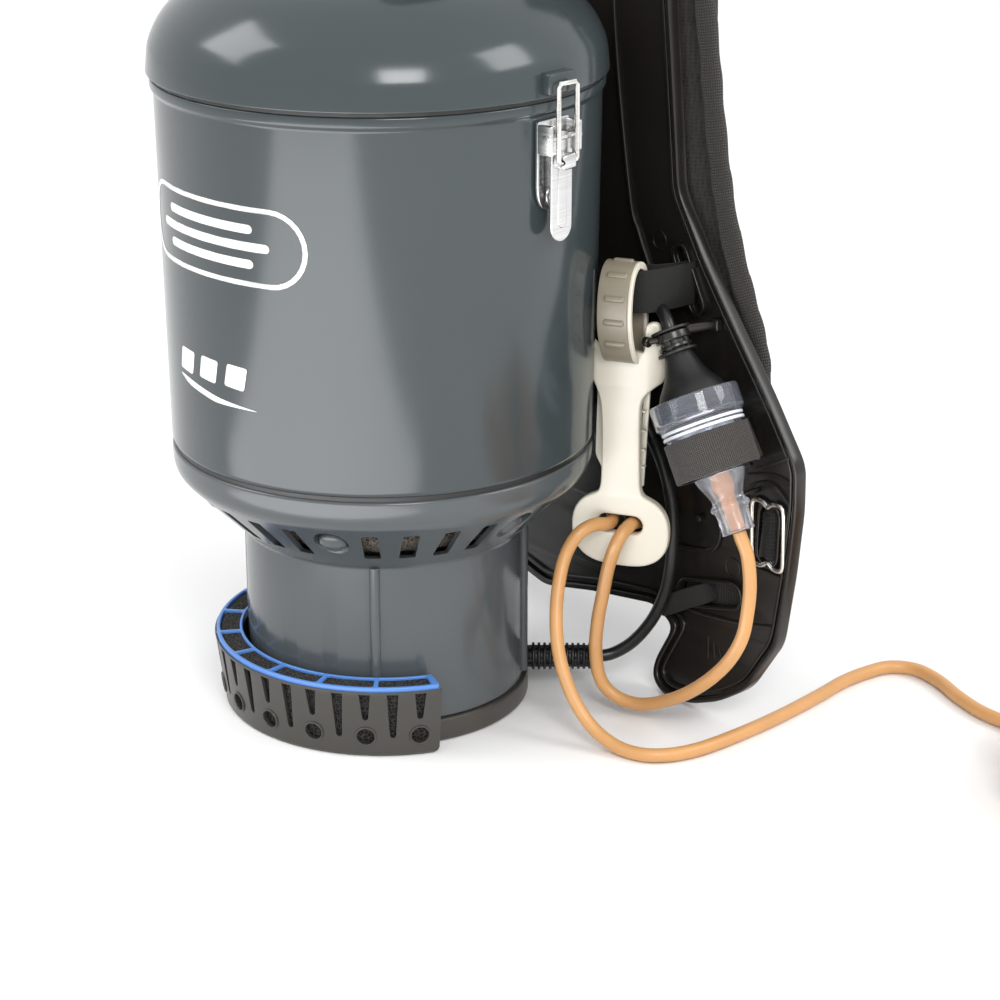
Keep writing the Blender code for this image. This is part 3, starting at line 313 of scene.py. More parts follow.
CHARCOAL = moulded("charcoal_moulding", (0.039, 0.050, 0.054), 0.16, 0.10, 700.0, 0.03)
# The canister's charcoal moulding again, its colour lifted for the motor housing: painted light,
# standing for the glow the floor throws up onto the neck and flare.
HOUSING_PAINTED_LIGHT = moulded("housing_painted_light", (0.072, 0.082, 0.087), 0.18, 0.10, 700.0, 0.03)
GREY = moulded("warm_grey_moulding", (0.045, 0.041, 0.035), 0.34, 0.3, 1500.0)
BLACK = moulded("black_moulding", (0.0115, 0.0098, 0.0082), 0.24, 0.35, 1300.0)
BLACK_SATIN = moulded("black_satin", (0.010, 0.010, 0.010), 0.40, 0.3, 1100.0)
BLUE = moulded("blue_moulding", (0.085, 0.230, 0.600), 0.33, 0.15)
IVORY = moulded("ivory_moulding", (0.690, 0.650, 0.545), 0.36, 0.2, 1200.0, 0.03,
                Subsurface_Weight=0.08, Subsurface_Scale=0.002)
# The ivory moulding again, darkened and warmed for the hook's hoop: painted shade, as if the hoop
# stood in shadow while the disc and arm are lit.
IVORY_PAINTED_SHADE = moulded("ivory_painted_shade", (0.245, 0.215, 0.158), 0.34, 0.2, 1200.0, 0.05)
RUBBER = moulded("black_rubber", (0.007, 0.007, 0.007), 0.42, 0.4, 1300.0)
RED = moulded("red_moulding", (0.52, 0.030, 0.020), 0.25, 0.1)
WHITE_INK = moulded("white_ink", (0.90, 0.90, 0.89), 0.35, 0.1)
WHITE_THREAD = moulded("white_moulding", (0.80, 0.82, 0.86), 0.3, 0.15)
FOAM = open_foam("black_foam", (0.001, 0.001, 0.001), (0.050, 0.046, 0.040), 0.0019)
SOUND_FOAM = open_foam("brown_foam", (0.05, 0.042, 0.034), (0.25, 0.21, 0.17), 0.0016)
CLEAR = clear("clear_moulding", (0.86, 0.90, 1.0), 0.05, 0.94)
FROSTED = clear("clear_frosted", (0.90, 0.93, 1.0), 0.16, 0.90)
STEEL = plated("plated_steel", (0.66, 0.66, 0.66), 0.20)
CHROME = plated("chromed_wire", (0.82, 0.80, 0.76), 0.10)
COPPER = plated("copper_winding", (0.62, 0.28, 0.12), 0.35)
ALUMINIUM = plated("cast_aluminium", (0.60, 0.61, 0.62), 0.38, (300.0, 300.0, 300.0))
WEBBING = woven("woven_webbing", (0.002, 0.002, 0.002), (0.0130, 0.0115, 0.0100), 0.0009,
                strength=0.6, depth=0.0002, sheen=0.01)
STRAP_WEAVE = woven("coarse_webbing", (0.010, 0.009, 0.008), (0.112, 0.098, 0.086), 0.0008,
                    strength=0.7, depth=0.0002)
MESH = spacer_mesh("spacer_mesh", (0.001, 0.001, 0.001), (0.018, 0.015, 0.012), 0.0018)
PIPING = woven("piping_cloth", (0.004, 0.003, 0.003), (0.050, 0.043, 0.034), 0.0011,
               strength=1.0, depth=0.0006)
CLOTH = woven("filter_cloth", (0.55, 0.54, 0.50), (0.80, 0.79, 0.75), 0.0012, coords="Object",
              strength=0.3)
ORANGE = sheath("orange_sheath", (0.610, 0.318, 0.118), 0.36, Subsurface_Weight=0.06,
                Subsurface_Scale=0.002)
ORANGE_CORE = sheath("orange_core", (0.84, 0.33, 0.08), 0.5)
BLACK_CORD = sheath("black_sheath", (0.010, 0.010, 0.010), 0.32)

SLOTS = {
    "charcoal_gloss": (CHARCOAL, HOUSING_PAINTED_LIGHT), "grey_plastic": (GREY,), "blue_plastic": (BLUE,),
    "black_plastic": (BLACK, BLACK_SATIN), "ivory_plastic": (IVORY, IVORY_PAINTED_SHADE, WHITE_INK),
    "red_plastic": (RED,), "clear_plastic": (CLEAR, FROSTED, WHITE_THREAD), "foam": (FOAM,),
    "rubber": (RUBBER,), "steel": (STEEL, CHROME), "webbing": (WEBBING, STRAP_WEAVE),
    "mesh_fabric": (MESH, PIPING), "orange_cord": (ORANGE, ORANGE_CORE),
    "black_cord": (BLACK_CORD,),
}
SLOT_OF = {mat.name: slot for slot, mats in SLOTS.items() for mat in mats}


# ---- mesh helpers ------------------------------------------------------------------
def linked(name, data):
    obj = bpy.data.objects.new(name, data)
    bpy.context.scene.collection.objects.link(obj)
    return obj


def mesh_object(name, bm):
    mesh = bpy.data.meshes.new(name)
    bm.to_mesh(mesh)
    bm.free()
    return linked(name, mesh)


def new_object(name, bm):
    """A mesh object from a bmesh, its doubled points merged and its faces turned outwards."""
    bmesh.ops.remove_doubles(bm, verts=bm.verts, dist=1e-6)
    bmesh.ops.recalc_face_normals(bm, faces=bm.faces)
    return mesh_object(name, bm)


def taken(*objects):
    """A bmesh that holds the objects' meshes; the objects go."""
    bm = bmesh.new()
    for obj in objects:
        bm.from_mesh(obj.data)
        bpy.data.objects.remove(obj, do_unlink=True)
    return bm


def settle(obj):
    """Turn the object's modifiers, or its curve, into plain mesh."""
    graph = bpy.context.evaluated_depsgraph_get()
    mesh = bpy.data.meshes.new_from_object(obj.evaluated_get(graph))
    if obj.type == "MESH":
        obj.modifiers.clear()
        obj.data = mesh
        return obj
    bm = bmesh.new()
    bm.from_mesh(mesh)
    bpy.data.objects.remove(obj, do_unlink=True)
    return new_object("solid", bm)


def place(obj, matrix):
    obj.data.transform(matrix)
    return obj


def move(obj, x, y, z):
    return place(obj, Matrix.Translation((x, y, z)))


def spin(degrees, axis):
    return Matrix.Rotation(math.radians(degrees), 4, axis)


def joined(objects):
    return mesh_object("joined", taken(*objects))


def reshaped(obj, axis, cuts, change):
    """Slice a mesh at the given distances along an axis, then move each of its points."""
    normal = Vector(axis)
    bm = bmesh.new()
    bm.from_mesh(obj.data)
    for at in cuts:
        bmesh.ops.bisect_plane(bm, geom=bm.verts[:] + bm.edges[:] + bm.faces[:],
                               plane_co=normal * at, plane_no=normal)
    for vert in bm.verts:
        change(vert.co)
    bm.to_mesh(obj.data)
    bm.free()
    return obj


def dress(obj, name, mat, *nodes, body="vacuum", slot=None, sharp=32):
    """Name a piece, give it its material and finish, and tie it to the frame."""
    slot = slot or SLOT_OF[mat.name]
    obj.name = name
    obj.data.name = name
    obj.data.materials.clear()
    obj.data.materials.append(mat)
    if obj.type == "MESH":
        obj.data.shade_smooth()
        if sharp:
            obj.data.set_sharp_from_angle(angle=math.radians(sharp))
    if nodes:
        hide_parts(*nodes)
    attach(obj, body)
    return obj


def turn_to(degrees):
    """Carry what faces -Y round to the given angle."""
    return spin(degrees, "Z")


def polar(radius, degrees):
    angle = math.radians(degrees)
    return radius * math.sin(angle), -radius * math.cos(angle)


def fillet(points, radius, steps=4, closed=True):
    """Round an outline's corners; a point may carry its own radius as a last value."""
    result = []
    count = len(points)
    for i, point in enumerate(points):
        here = Vector(point[:2])
        reach = point[2] if len(point) > 2 else radius
        if not reach or (not closed and i in (0, count - 1)):
            result.append(tuple(here))
            continue
        before = Vector(points[i - 1][:2]) - here
        after = Vector(points[(i + 1) % count][:2]) - here
        start = here + before.normalized() * min(reach, 0.48 * before.length)
        end = here + after.normalized() * min(reach, 0.48 * after.length)
        for step in range(steps + 1):
            t = step / steps
            result.append(tuple(start * (1 - t) ** 2 + here * 2 * t * (1 - t) + end * t * t))
    return result


def loft(rings, loop=False):
    """A skin through closed rings, with flat ends and weave coordinates in metres."""
    bm = bmesh.new()
    uv = bm.loops.layers.uv.new("weave")
    rows = [[bm.verts.new(p) for p in ring] for ring in rings]
    count = len(rings[0])
    around = [0.0]
    for i in range(count):
        gap = Vector(rings[0][(i + 1) % count]) - Vector(rings[0][i])
        around.append(around[-1] + gap.length)
    along = [0.0]
    for a, b in zip(rings, rings[1:] + rings[:1]):
        along.append(along[-1] + (Vector(b[0]) - Vector(a[0])).length)
    last = len(rows) if loop else len(rows) - 1
    for k in range(last):
        a, b = rows[k], rows[(k + 1) % len(rows)]
        for i in range(count):
            j = (i + 1) % count
            face = bm.faces.new((a[i], a[j], b[j], b[i]))
            spots = ((around[i], along[k]), (around[i + 1], along[k]),
                     (around[i + 1], along[k + 1]), (around[i], along[k + 1]))
            for corner, spot in zip(face.loops, spots):
                corner[uv].uv = spot
    if not loop:
        bm.faces.new(rows[0])
        bm.faces.new(rows[-1][::-1])
    return new_object("loft", bm)


def lathe(profile, steps=96, start=0.0, sweep=360.0, radius=0.0, corner=4):
    """A closed (radius, height) profile carried round Z, its corners rounded."""
    section = fillet(profile, radius, corner) if radius else [p[:2] for p in profile]
    full = sweep >= 360.0
    count = steps if full else steps + 1
    rings = []
    for i in range(count):
        x, y = polar(1.0, start + sweep * i / steps)
        rings.append([(r * x, r * y, z) for r, z in section])
    return loft(rings, loop=full)


def heading(points, i):
    """The way a path runs at a point: from the point before it to the one after."""
    return Vector(points[min(i + 1, len(points) - 1)]) - Vector(points[max(i - 1, 0)])


def hoop(outer, inner, high, low, steps, edge, sharp=""):
    """A turned ring; its section's corners are rounded, but for those on the sharp side."""
    corners = ((outer, high, ""), (outer, low, "low"), (inner, low, "low inner"),
               (inner, high, "inner"))
    profile = [(r, z, 0) if sharp and sharp in sides else (r, z) for r, z, sides in corners]
    return lathe(profile, steps, radius=edge)


def frames(points, up, closed=False):
    """The direction and a steady side vector at each point of a path."""
    result = []
    side = None
    count = len(points)
    for i in range(count):
        run = points[(i + 1) % count] - points[i - 1] if closed else heading(points, i)
        along = run.normalized()
        side = up if side is None else side
        side = (side - along * side.dot(along)).normalized()
        result.append((along, side))
    return result


def pipe(points, radius, sides=16, closed=False, up=(0.0, 0.0, 1.0)):
    """A round bar; radius is a number or one for each point."""
    pts = [Vector(p) for p in points]
    radii = radius if hasattr(radius, "__len__") else [radius] * len(pts)
    seed = Vector(up)
    if abs(seed.dot((pts[1] - pts[0]).normalized())) > 0.9:
        seed = Vector((1.0, 0.2, 0.0))
    rings = []
    for point, (along, side), r in zip(pts, frames(pts, seed, closed), radii):
        other = along.cross(side)
        ring = []
        for k in range(sides):
            a = 2 * math.pi * k / sides
            ring.append(point + (side * math.cos(a) + other * math.sin(a)) * r)
        rings.append(ring)
    return loft(rings, loop=closed)


def ribbon(path, across, width, thickness, crown=0.0):
    """A flat strap along a path; across is a vector, or one for each point."""
    pts = [Vector(p) for p in path]
    if not hasattr(across[0], "__len__"):
        across = [across] * len(pts)
    sides = [Vector(a) for a in across]
    half, t = width / 2, thickness / 2
    outline = fillet([(-half, -t), (half, -t), (half, t), (-half, t)], t * 0.9, 3)
    if crown:
        outline = crowned(half, t, crown)
    rings = []
    for i, (point, side) in enumerate(zip(pts, sides)):
        along = heading(pts, i).normalized()
        side = (side - along * side.dot(along)).normalized()
        normal = along.cross(side)
        rings.append([point + side * x + normal * y for x, y in outline])
    return loft(rings)


def crowned(half, t, crown):
    """A strap's section, fuller in the middle than at its sewn edges."""
    top = []
    for i in range(13):
        x = -half + half * i / 6
        share = 1 - abs(x / half) ** 4
        top.append((x, t * (1 - crown) + t * crown * share))
    return [(-x, -y) for x, y in top] + [(-x, y) for x, y in top[::-1]]


def add_spline(curve, points):
    spline = curve.splines.new("POLY")
    spline.points.add(len(points) - 1)
    for point, at in zip(spline.points, points):
        point.co = (*at, 1.0)
    return spline


def flat_outline(outlines, thickness, edge=0.0):
    """Outlines in X and Y, those inside others being holes, extruded about Z = 0."""
    curve = bpy.data.curves.new("outline", "CURVE")
    curve.dimensions = "2D"
    curve.fill_mode = "BOTH"
    curve.extrude = thickness / 2 - edge
    curve.bevel_depth = edge
    curve.bevel_resolution = 3
    curve.offset = -edge
    for outline in outlines:
        add_spline(curve, [(x, y, 0.0) for x, y in outline]).use_cyclic_u = True
    return settle(linked("outline", curve))


def slab(outlines, low, high, edge=0.0):
    """A flat shape with its thickness along Z."""
    return move(flat_outline(outlines, high - low, edge), 0, 0, (low + high) / 2)


def panel(outlines, front, back, edge=0.0):
    """A flat shape standing in X and Z, its thickness along Y."""
    obj = flat_outline(outlines, back - front, edge)
    place(obj, spin(90, "X"))
    return move(obj, 0, (front + back) / 2, 0)


def box(size, centre, edge=0.0, segments=3):
    bm = bmesh.new()
    bmesh.ops.create_cube(bm, size=1.0)
    bmesh.ops.scale(bm, vec=size, verts=bm.verts)
    if edge:
        bmesh.ops.bevel(bm, geom=bm.edges[:], offset=edge, segments=segments, profile=0.5,
                        affect="EDGES")
    return move(new_object("box", bm), *centre)


def rod(radius, length, centre, axis="Z", edge=0.0, steps=32):
    """A short round bar with rounded rims."""
    half = length / 2
    profile = [(0.0, half, 0), (radius, half), (radius, -half), (0.0, -half, 0)]
    obj = lathe(profile, steps, radius=edge, corner=3)
    if axis == "X":
        place(obj, spin(90, "Y"))
    if axis == "Y":
        place(obj, spin(90, "X"))
    return move(obj, *centre)


def combine(target, tool, operation, solver="MANIFOLD"):
    step = target.modifiers.new("combine", "BOOLEAN")
    step.operation = operation
    step.object = tool
    step.solver = solver
    settle(target)
    bpy.data.objects.remove(tool, do_unlink=True)
    return target


def cut(target, *tools, solver="MANIFOLD"):
    for tool in tools:
        combine(target, tool, "DIFFERENCE", solver)
    return target


def unite(target, *tools):
    for tool in tools:
        combine(target, tool, "UNION", "MANIFOLD")
    return target


def bevelled(obj, width, segments=3, angle=30):
    step = obj.modifiers.new("edges", "BEVEL")
    step.width = width
    step.segments = segments
    step.limit_method = "ANGLE"
    step.angle_limit = math.radians(angle)
    step.harden_normals = False
    return settle(obj)


def refined(node, width):
    """A finer copy of a CAD node: its flat faces merged and its edges rounded."""
    bm = bmesh.new()
    bm.from_mesh(NODES[node].data)
    bmesh.ops.remove_doubles(bm, verts=bm.verts, dist=1e-5)
    bmesh.ops.dissolve_limit(bm, angle_limit=math.radians(2), verts=bm.verts, edges=bm.edges)
    return bevelled(new_object("refined", bm), width, 3)


def spline_point(a, b, c, d, t):
    """A point of a Catmull-Rom curve between b and c."""
    return (b * 2 + (c - a) * t + (a * 2 - b * 5 + c * 4 - d) * t * t
            + (b * 3 - a - c * 3 + d) * t ** 3) / 2


def smooth(points, per_span, closed=False):
    pts = [Vector(p) for p in points]
    count = len(pts)
    result = []
    for i in range(count if closed else count - 1):
        ends = [i - 1, i, i + 1, i + 2]
        if closed:
            a, b, c, d = (pts[k % count] for k in ends)
        else:
            a, b, c, d = (pts[min(max(k, 0), count - 1)] for k in ends)
        result += [spline_point(a, b, c, d, step / per_span) for step in range(per_span)]
    if not closed:
        result.append(pts[-1])
    return result


def spaced(points, spacing):
    """Points at even spacing along a smooth curve through the given ones."""
    fine = smooth(points, 8)
    lengths = [0.0]
    for a, b in zip(fine, fine[1:]):
        lengths.append(lengths[-1] + (b - a).length)
    count = max(2, round(lengths[-1] / spacing))
    result = []
    k = 0
    for i in range(count + 1):
        goal = lengths[-1] * i / count
        while k < len(fine) - 2 and lengths[k + 1] < goal:
            k += 1
        share = (goal - lengths[k]) / (lengths[k + 1] - lengths[k])
        result.append(fine[k].lerp(fine[k + 1], share))
    return result


def path_length(points):
    return sum((Vector(b) - Vector(a)).length for a, b in zip(points, points[1:]))


def cord_curve(name, points, radius):
    curve = bpy.data.curves.new(name, "CURVE")
    curve.dimensions = "3D"
    curve.bevel_depth = radius
    curve.bevel_resolution = 4
    curve.use_fill_caps = True
    add_spline(curve, points).use_smooth = True
    return linked(name, curve)


def obround(length, height, centre, degrees=0.0, sides=10):
    """A slot outline with round ends, turned about its centre."""
    radius = height / 2
    reach = length / 2 - radius
    points = []
    for side, start in ((1, -90), (-1, 90)):
        for i in range(sides + 1):
            angle = math.radians(start + 180 * i / sides)
            points.append((side * reach + radius * math.cos(angle), radius * math.sin(angle)))
    tilt = math.radians(degrees)
    return [(centre[0] + x * math.cos(tilt) - y * math.sin(tilt),
             centre[1] + x * math.sin(tilt) + y * math.cos(tilt)) for x, y in points]


def shrink(outline, distance):
    """Move a smooth counter-clockwise outline inwards, or outwards by a negative distance."""
    pts = [Vector(p) for p in outline]
    result = []
    for i, here in enumerate(pts):
        along = (pts[(i + 1) % len(pts)] - pts[i - 1]).normalized()
        result.append(tuple(here + Vector((-along.y, along.x)) * distance))
    return result


def inset(corners, distance):
    """Move a counter-clockwise outline's sharp corners inwards along their mitres."""
    pts = [Vector(p[:2]) for p in corners]
    result = []
    for i, here in enumerate(pts):
        before = (here - pts[i - 1]).normalized()
        after = (pts[(i + 1) % len(pts)] - here).normalized()
        first, second = Vector((-before.y, before.x)), Vector((-after.y, after.x))
        result.append(tuple(here + (first + second) * (distance / (1 + first.dot(second)))))
    return result


def sector(inner, outer, middle, half, corner, steps=10):
    """An annular sector's outline with rounded corners, counter-clockwise."""
    rim = [polar(outer, middle - half + 2 * half * i / steps) for i in range(steps + 1)]
    bore = [polar(inner, middle + half - 2 * half * i / steps) for i in range(steps + 1)]
    points = []
    for row in (rim, bore):
        for i, point in enumerate(row):
            points.append((*point, corner if i in (0, steps) else 0))
    return fillet(points, 0, 4)


def mirrored(points):
    return [(-x, z) for x, z in reversed(points)]


# ---- camera, floor and light -------------------------------------------------------
def make_camera():
    azimuth, elevation = math.radians(50), math.radians(20.27)
    distance, aim_right, aim_height = 1.365, 0.05807, 0.1032
    right = Vector((math.cos(azimuth), math.sin(azimuth), 0))
    target = right * aim_right + Vector((0, 0, aim_height))
    back = Vector((math.sin(azimuth) * math.cos(elevation),
                   -math.cos(azimuth) * math.cos(elevation), math.sin(elevation)))
    camera = bpy.data.cameras.new("camera")
    camera.lens = 97.3
    camera.sensor_width = 36
    obj = linked("camera", camera)
    obj.location = target + back * distance
    obj.rotation_euler = (-back).to_track_quat("-Z", "Y").to_euler()
    bpy.context.scene.camera = obj


def area_light(name, at, towards, size, power):
    light = bpy.data.lights.new(name, "AREA")
    light.shape = "RECTANGLE"
    light.size, light.size_y = size
    light.energy = power
    obj = linked(name, light)
    obj.location = at
    obj.rotation_euler = (Vector(towards) - Vector(at)).to_track_quat("-Z", "Y").to_euler()
    obj.visible_camera = False
    return obj


def make_stage():
    world = bpy.data.worlds.new("studio")
    world.use_nodes = True
    world.node_tree.nodes["Background"].inputs["Color"].default_value = (1.0, 1.0, 1.0, 1.0)
    world.node_tree.nodes["Background"].inputs["Strength"].default_value = 1.0
    bpy.context.scene.world = world
    bpy.context.scene.view_settings.view_transform = "Standard"
    bm = bmesh.new()
    bmesh.ops.create_grid(bm, x_segments=1, y_segments=1, size=6.0)
    floor = new_object("floor", bm)
    mat, tree, shader = base_material("studio_floor", 0.6)
    dust = noise_texture(tree, coordinates(tree), 3.0)
    feed(shader, Base_Color=clouded(tree, dust, (1.0, 1.0, 1.0), 0.93, 0.95))
    shader.inputs["Specular IOR Level"].default_value = 0.2
    floor.data.materials.append(mat)
    floor.location.z = -0.0002
    # cards on the floor in front, which the canister's wall mirrors as a soft pale column
    for width in (0.70, 0.58, 0.46, 0.34, 0.22):
        x, y = polar(0.70, 20)
        card = area_light("floor_card", (x, y, 0.004), (x, y, 1.0), (width, 0.84), 9.5 * width)
        card.rotation_euler = (math.pi, 0, math.radians(20))
        card.visible_diffuse = False
    area_light("key", (-0.9, -1.1, 1.5), (0, 0, 0.15), (0.9, 0.9), 14.0)
    area_light("fill", (1.15, -0.55, 0.95), (0.12, 0.05, 0.12), (0.5, 0.5), 9.0)
    area_light("rim", (1.3, 0.9, 1.3), (0.1, 0.1, 0.15), (0.7, 0.7), 9.0)


# ---- canister and motor housing ----------------------------------------------------
WALL_LOW, WALL_HIGH = 0.1440, RIM_Z - 0.0064
PRINT_LIFT = 0.00012
BADGE = (0.0050, 0.2590)


def make_tank():
    wall = [(0.1088, RIM_Z), (0.1088, RIM_Z - 0.0045), (0.1071, WALL_HIGH),
            (0.1050, WALL_LOW), (0.1041, 0.1424), (0.0320, 0.1424), (0.0320, 0.1446),
            (0.1022, 0.1446), (0.1048, RIM_Z)]
    dress(lathe(wall, 144, radius=0.0010), "tank_shell", CHARCOAL, "tank")
    seam = hoop(0.1037, 0.1010, 0.1426, 0.1396, 144, 0.0004)
    dress(seam, "seam_ring", BLACK_SATIN, slot="rubber")


def on_wall(x, z, lift):
    """A point just off the canister's wall, x metres round from -Y at height z."""
    share = (z - WALL_LOW) / (WALL_HIGH - WALL_LOW)
    radius = 0.1050 + 0.0021 * share + lift
    return (*polar(radius, math.degrees(x / 0.106)), z)


def printed(outlines, name):
    """A thin print laid on the canister's wall, from outlines in metres round and up."""
    bm = taken(flat_outline(outlines, 0.0002))
    edges = [e for e in bm.edges if e.calc_length() > 0.003]
    for _ in range(4):
        bmesh.ops.subdivide_edges(bm, edges=[e for e in edges if e.is_valid], cuts=1)
        edges = [e for e in bm.edges if e.calc_length() > 0.003]
        bmesh.ops.triangulate(bm, faces=[f for f in bm.faces if len(f.verts) > 4])
    for vert in bm.verts:
        vert.co = on_wall(vert.co.x, vert.co.y, PRINT_LIFT + vert.co.z)
    dress(new_object(name, bm), name, WHITE_INK, sharp=0)


def make_prints():
    """A plain rounded frame with three bars in it, and a plain tapering stripe."""
    rim = obround(0.1180, 0.0375, BADGE, 0, 14)
    inside = obround(0.1132, 0.0327, BADGE, 0, 14)
    printed([rim, inside], "badge_frame")
    bars = [obround(length, 0.0042, (BADGE[0], z), 0, 6)
            for length, z in ((0.0620, 0.2672), (0.0800, BADGE[1]), (0.0620, 0.2508))]
    printed(bars, "badge_bars")
    stripe = fillet([(-0.0250, 0.1870), (-0.0150, 0.1830), (0.0080, 0.1795), (0.0370, 0.1800),
                     (0.0110, 0.1822), (-0.0130, 0.1858)], 0.004)
    blocks = [fillet([(x, 0.1895), (x + 0.0125, 0.1885), (x + 0.0150, 0.2000),
                      (x + 0.0025, 0.2005)], 0.0015) for x in (-0.0230, -0.0040, 0.0150)]
    printed([stripe, *blocks], "model_stripe")


def make_housing():
    wall = [(0.1042, 0.1402), (0.1050, 0.1394), (0.1050, 0.1312, 0.006), (0.1030, 0.1262, 0.004),
            (0.0716, 0.0954), (NECK_R, 0.0935), (NECK_R, 0.0125), (0.0677, 0.0125),
            (0.0677, 0.0955), (0.1022, 0.1290), (0.1022, 0.1379), (0.0790, 0.1379),
            (0.0790, 0.1402)]
    shell = lathe(wall, 144, radius=0.0007)
    envelope = lathe([(0, 0.1402), *wall[:7], (0, 0.0125)], 144, radius=0.0)
    bosses = joined([rod(0.0107, 0.030, (*polar(SCREW_R, a), 0.1255), steps=40)
                     for a in SCREW_ANGLES])
    combine(bosses, envelope, "INTERSECT")
    ribs = joined([rod(0.0026, 0.0800, (*polar(0.0703, a), 0.0545), steps=20)
                   for a in RIB_ANGLES])
    unite(shell, bosses, ribs)
    pockets = []
    for angle in SCREW_ANGLES:
        profile = [(0, 0.1240, 0), (0.0076, 0.1240), (0.0087, 0.1100, 0), (0.0087, 0.0940, 0),
                   (0, 0.0940, 0)]
        pocket = lathe(profile, 40, radius=0.0012)
        pockets.append(move(pocket, *polar(SCREW_R, angle), 0))
    vents = []
    for angle in VENT_ANGLES:
        vent = box((0.0080, 0.050, 0.0180), (0, -0.0880, 0.1112), 0.0009)
        vents.append(place(vent, turn_to(angle)))
    windows = []
    for cell in range(CELLS):
        window = box((0.0150, 0.012, 0.0150), (0, -NECK_R, 0.0240), 0.001)
        windows.append(place(window, turn_to((cell - (CELLS - 1) / 2) * CELL_PITCH)))
    switch = box((0.0150, 0.020, 0.0230), (0, -NECK_R, 0.0600), 0.0005)
    place(switch, turn_to(SWITCH_ANGLE))
    cut(shell, joined(pockets), joined(vents), joined(windows), switch)
    # the housing wears the charcoal moulding's lighter copy, with painted floor light in its
    # colour
    dress(shell, "housing_shell", HOUSING_PAINTED_LIGHT, "motor_housing")
    screws, domes = [], []
    for angle in SCREW_ANGLES:
        at = Matrix.Translation((*polar(SCREW_R, angle), 0))
        dome = lathe([(0, 0.0026), (0.0034, 0.0022), (0.0058, 0.0010), (0.0070, -0.0006),
                      (0.0072, -0.0040), (0, -0.0040)], 36)
        place(dome, spin(128, "X"))
        domes.append(place(dome, turn_to(angle) @ Matrix.Translation((0, -0.0880, 0.1128))))
        head = lathe([(0, 0.1238, 0), (0.0040, 0.1238), (0.0040, 0.1218, 0.0014), (0, 0.1206, 0)],
                     28, radius=0.0004)
        cut(head, box((0.0042, 0.0009, 0.0030), (0, 0, 0.1206)),
            box((0.0009, 0.0042, 0.0030), (0, 0, 0.1206)))
        screws.append(place(head, at))
    dress(joined(screws), "housing_screws", STEEL)
    dress(joined(domes), "boss_ends", HOUSING_PAINTED_LIGHT, sharp=60)


def make_base():
    rim = [(0, 0.003, 0), (0.0675, 0.003, 0), (0.0675, 0.0121, 0), (0.0718, 0.0121),
           (0.0725, 0.0112), (0.0725, 0.0015), (0.0710, 0, 0.001), (0, 0, 0)]
    dress(lathe(rim, 128, radius=0.0009), "base_shell", GREY, "base_cap")


def make_lid():
    dome = [(0.0268, LID_TOP), (0.0600, 0.3765, 0.01), (0.0860, 0.3668, 0.01),
            (0.1030, 0.3510, 0.01), (0.1090, 0.3380, 0.004), (0.1105, 0.3242),
            (0.1030, 0.3242), (0.1050, 0.3380), (0.0995, 0.3495), (0.0845, 0.3638),
            (0.0590, 0.3730), (0.0268, 0.3765)]
    shell = lathe(dome, 144, radius=0.0008)
    keepers = [place(box((0.0180, 0.0070, 0.0100), (0, -0.1112, 0.3310), 0.0012), turn_to(a))
               for _, a in LATCHES]
    steps = [hoop(r + 0.0022, r - 0.0022, z, z - 0.003, 144, 0.0009, "low")
             for r, z in ((0.0720, 0.3739), (0.0440, 0.3790))]
    unite(shell, *keepers, *steps)
    dress(shell, "lid_shell", CHARCOAL, "lid", body="lid")


def make_inlet():
    rise, bend = 0.3960, 0.0300
    path = [Vector((0, 0, 0.3660)), Vector((0, 0, rise))]
    for i in range(1, 25):
        angle = math.radians(90 * i / 24)
        path.append(Vector((bend * (1 - math.cos(angle)), 0, rise + bend * math.sin(angle))))
    path.append(path[-1] + Vector((0.0220, 0, 0)))
    outer = pipe(path, 0.0225, 48)
    longer = [path[0] - Vector((0, 0, 0.004)), *path[1:-1], path[-1] + Vector((0.009, 0, 0))]
    cuff = rod(0.0262, 0.0160, CUFF, "X", 0.0012, 64)
    collar = rod(0.0310, 0.0055, (0, 0, 0.38325), "Z", 0.0012, 64)
    grips = []
    for i in range(24):
        a = math.radians(15 * i)
        grip = rod(0.0012, 0.0120, (0, 0.0262 * math.cos(a), 0.0262 * math.sin(a)), "X",
                   0.0004, 10)
        grips.append(move(grip, *CUFF))
    unite(outer, cuff, collar, joined(grips))
    cut(outer, pipe(longer, 0.0190, 48))
    cut(outer, rod(0.0205, 0.0170, CUFF, "X", 0, 48))
    dress(outer, "inlet_elbow", BLACK_SATIN, "hose_inlet", body="hose_elbow")


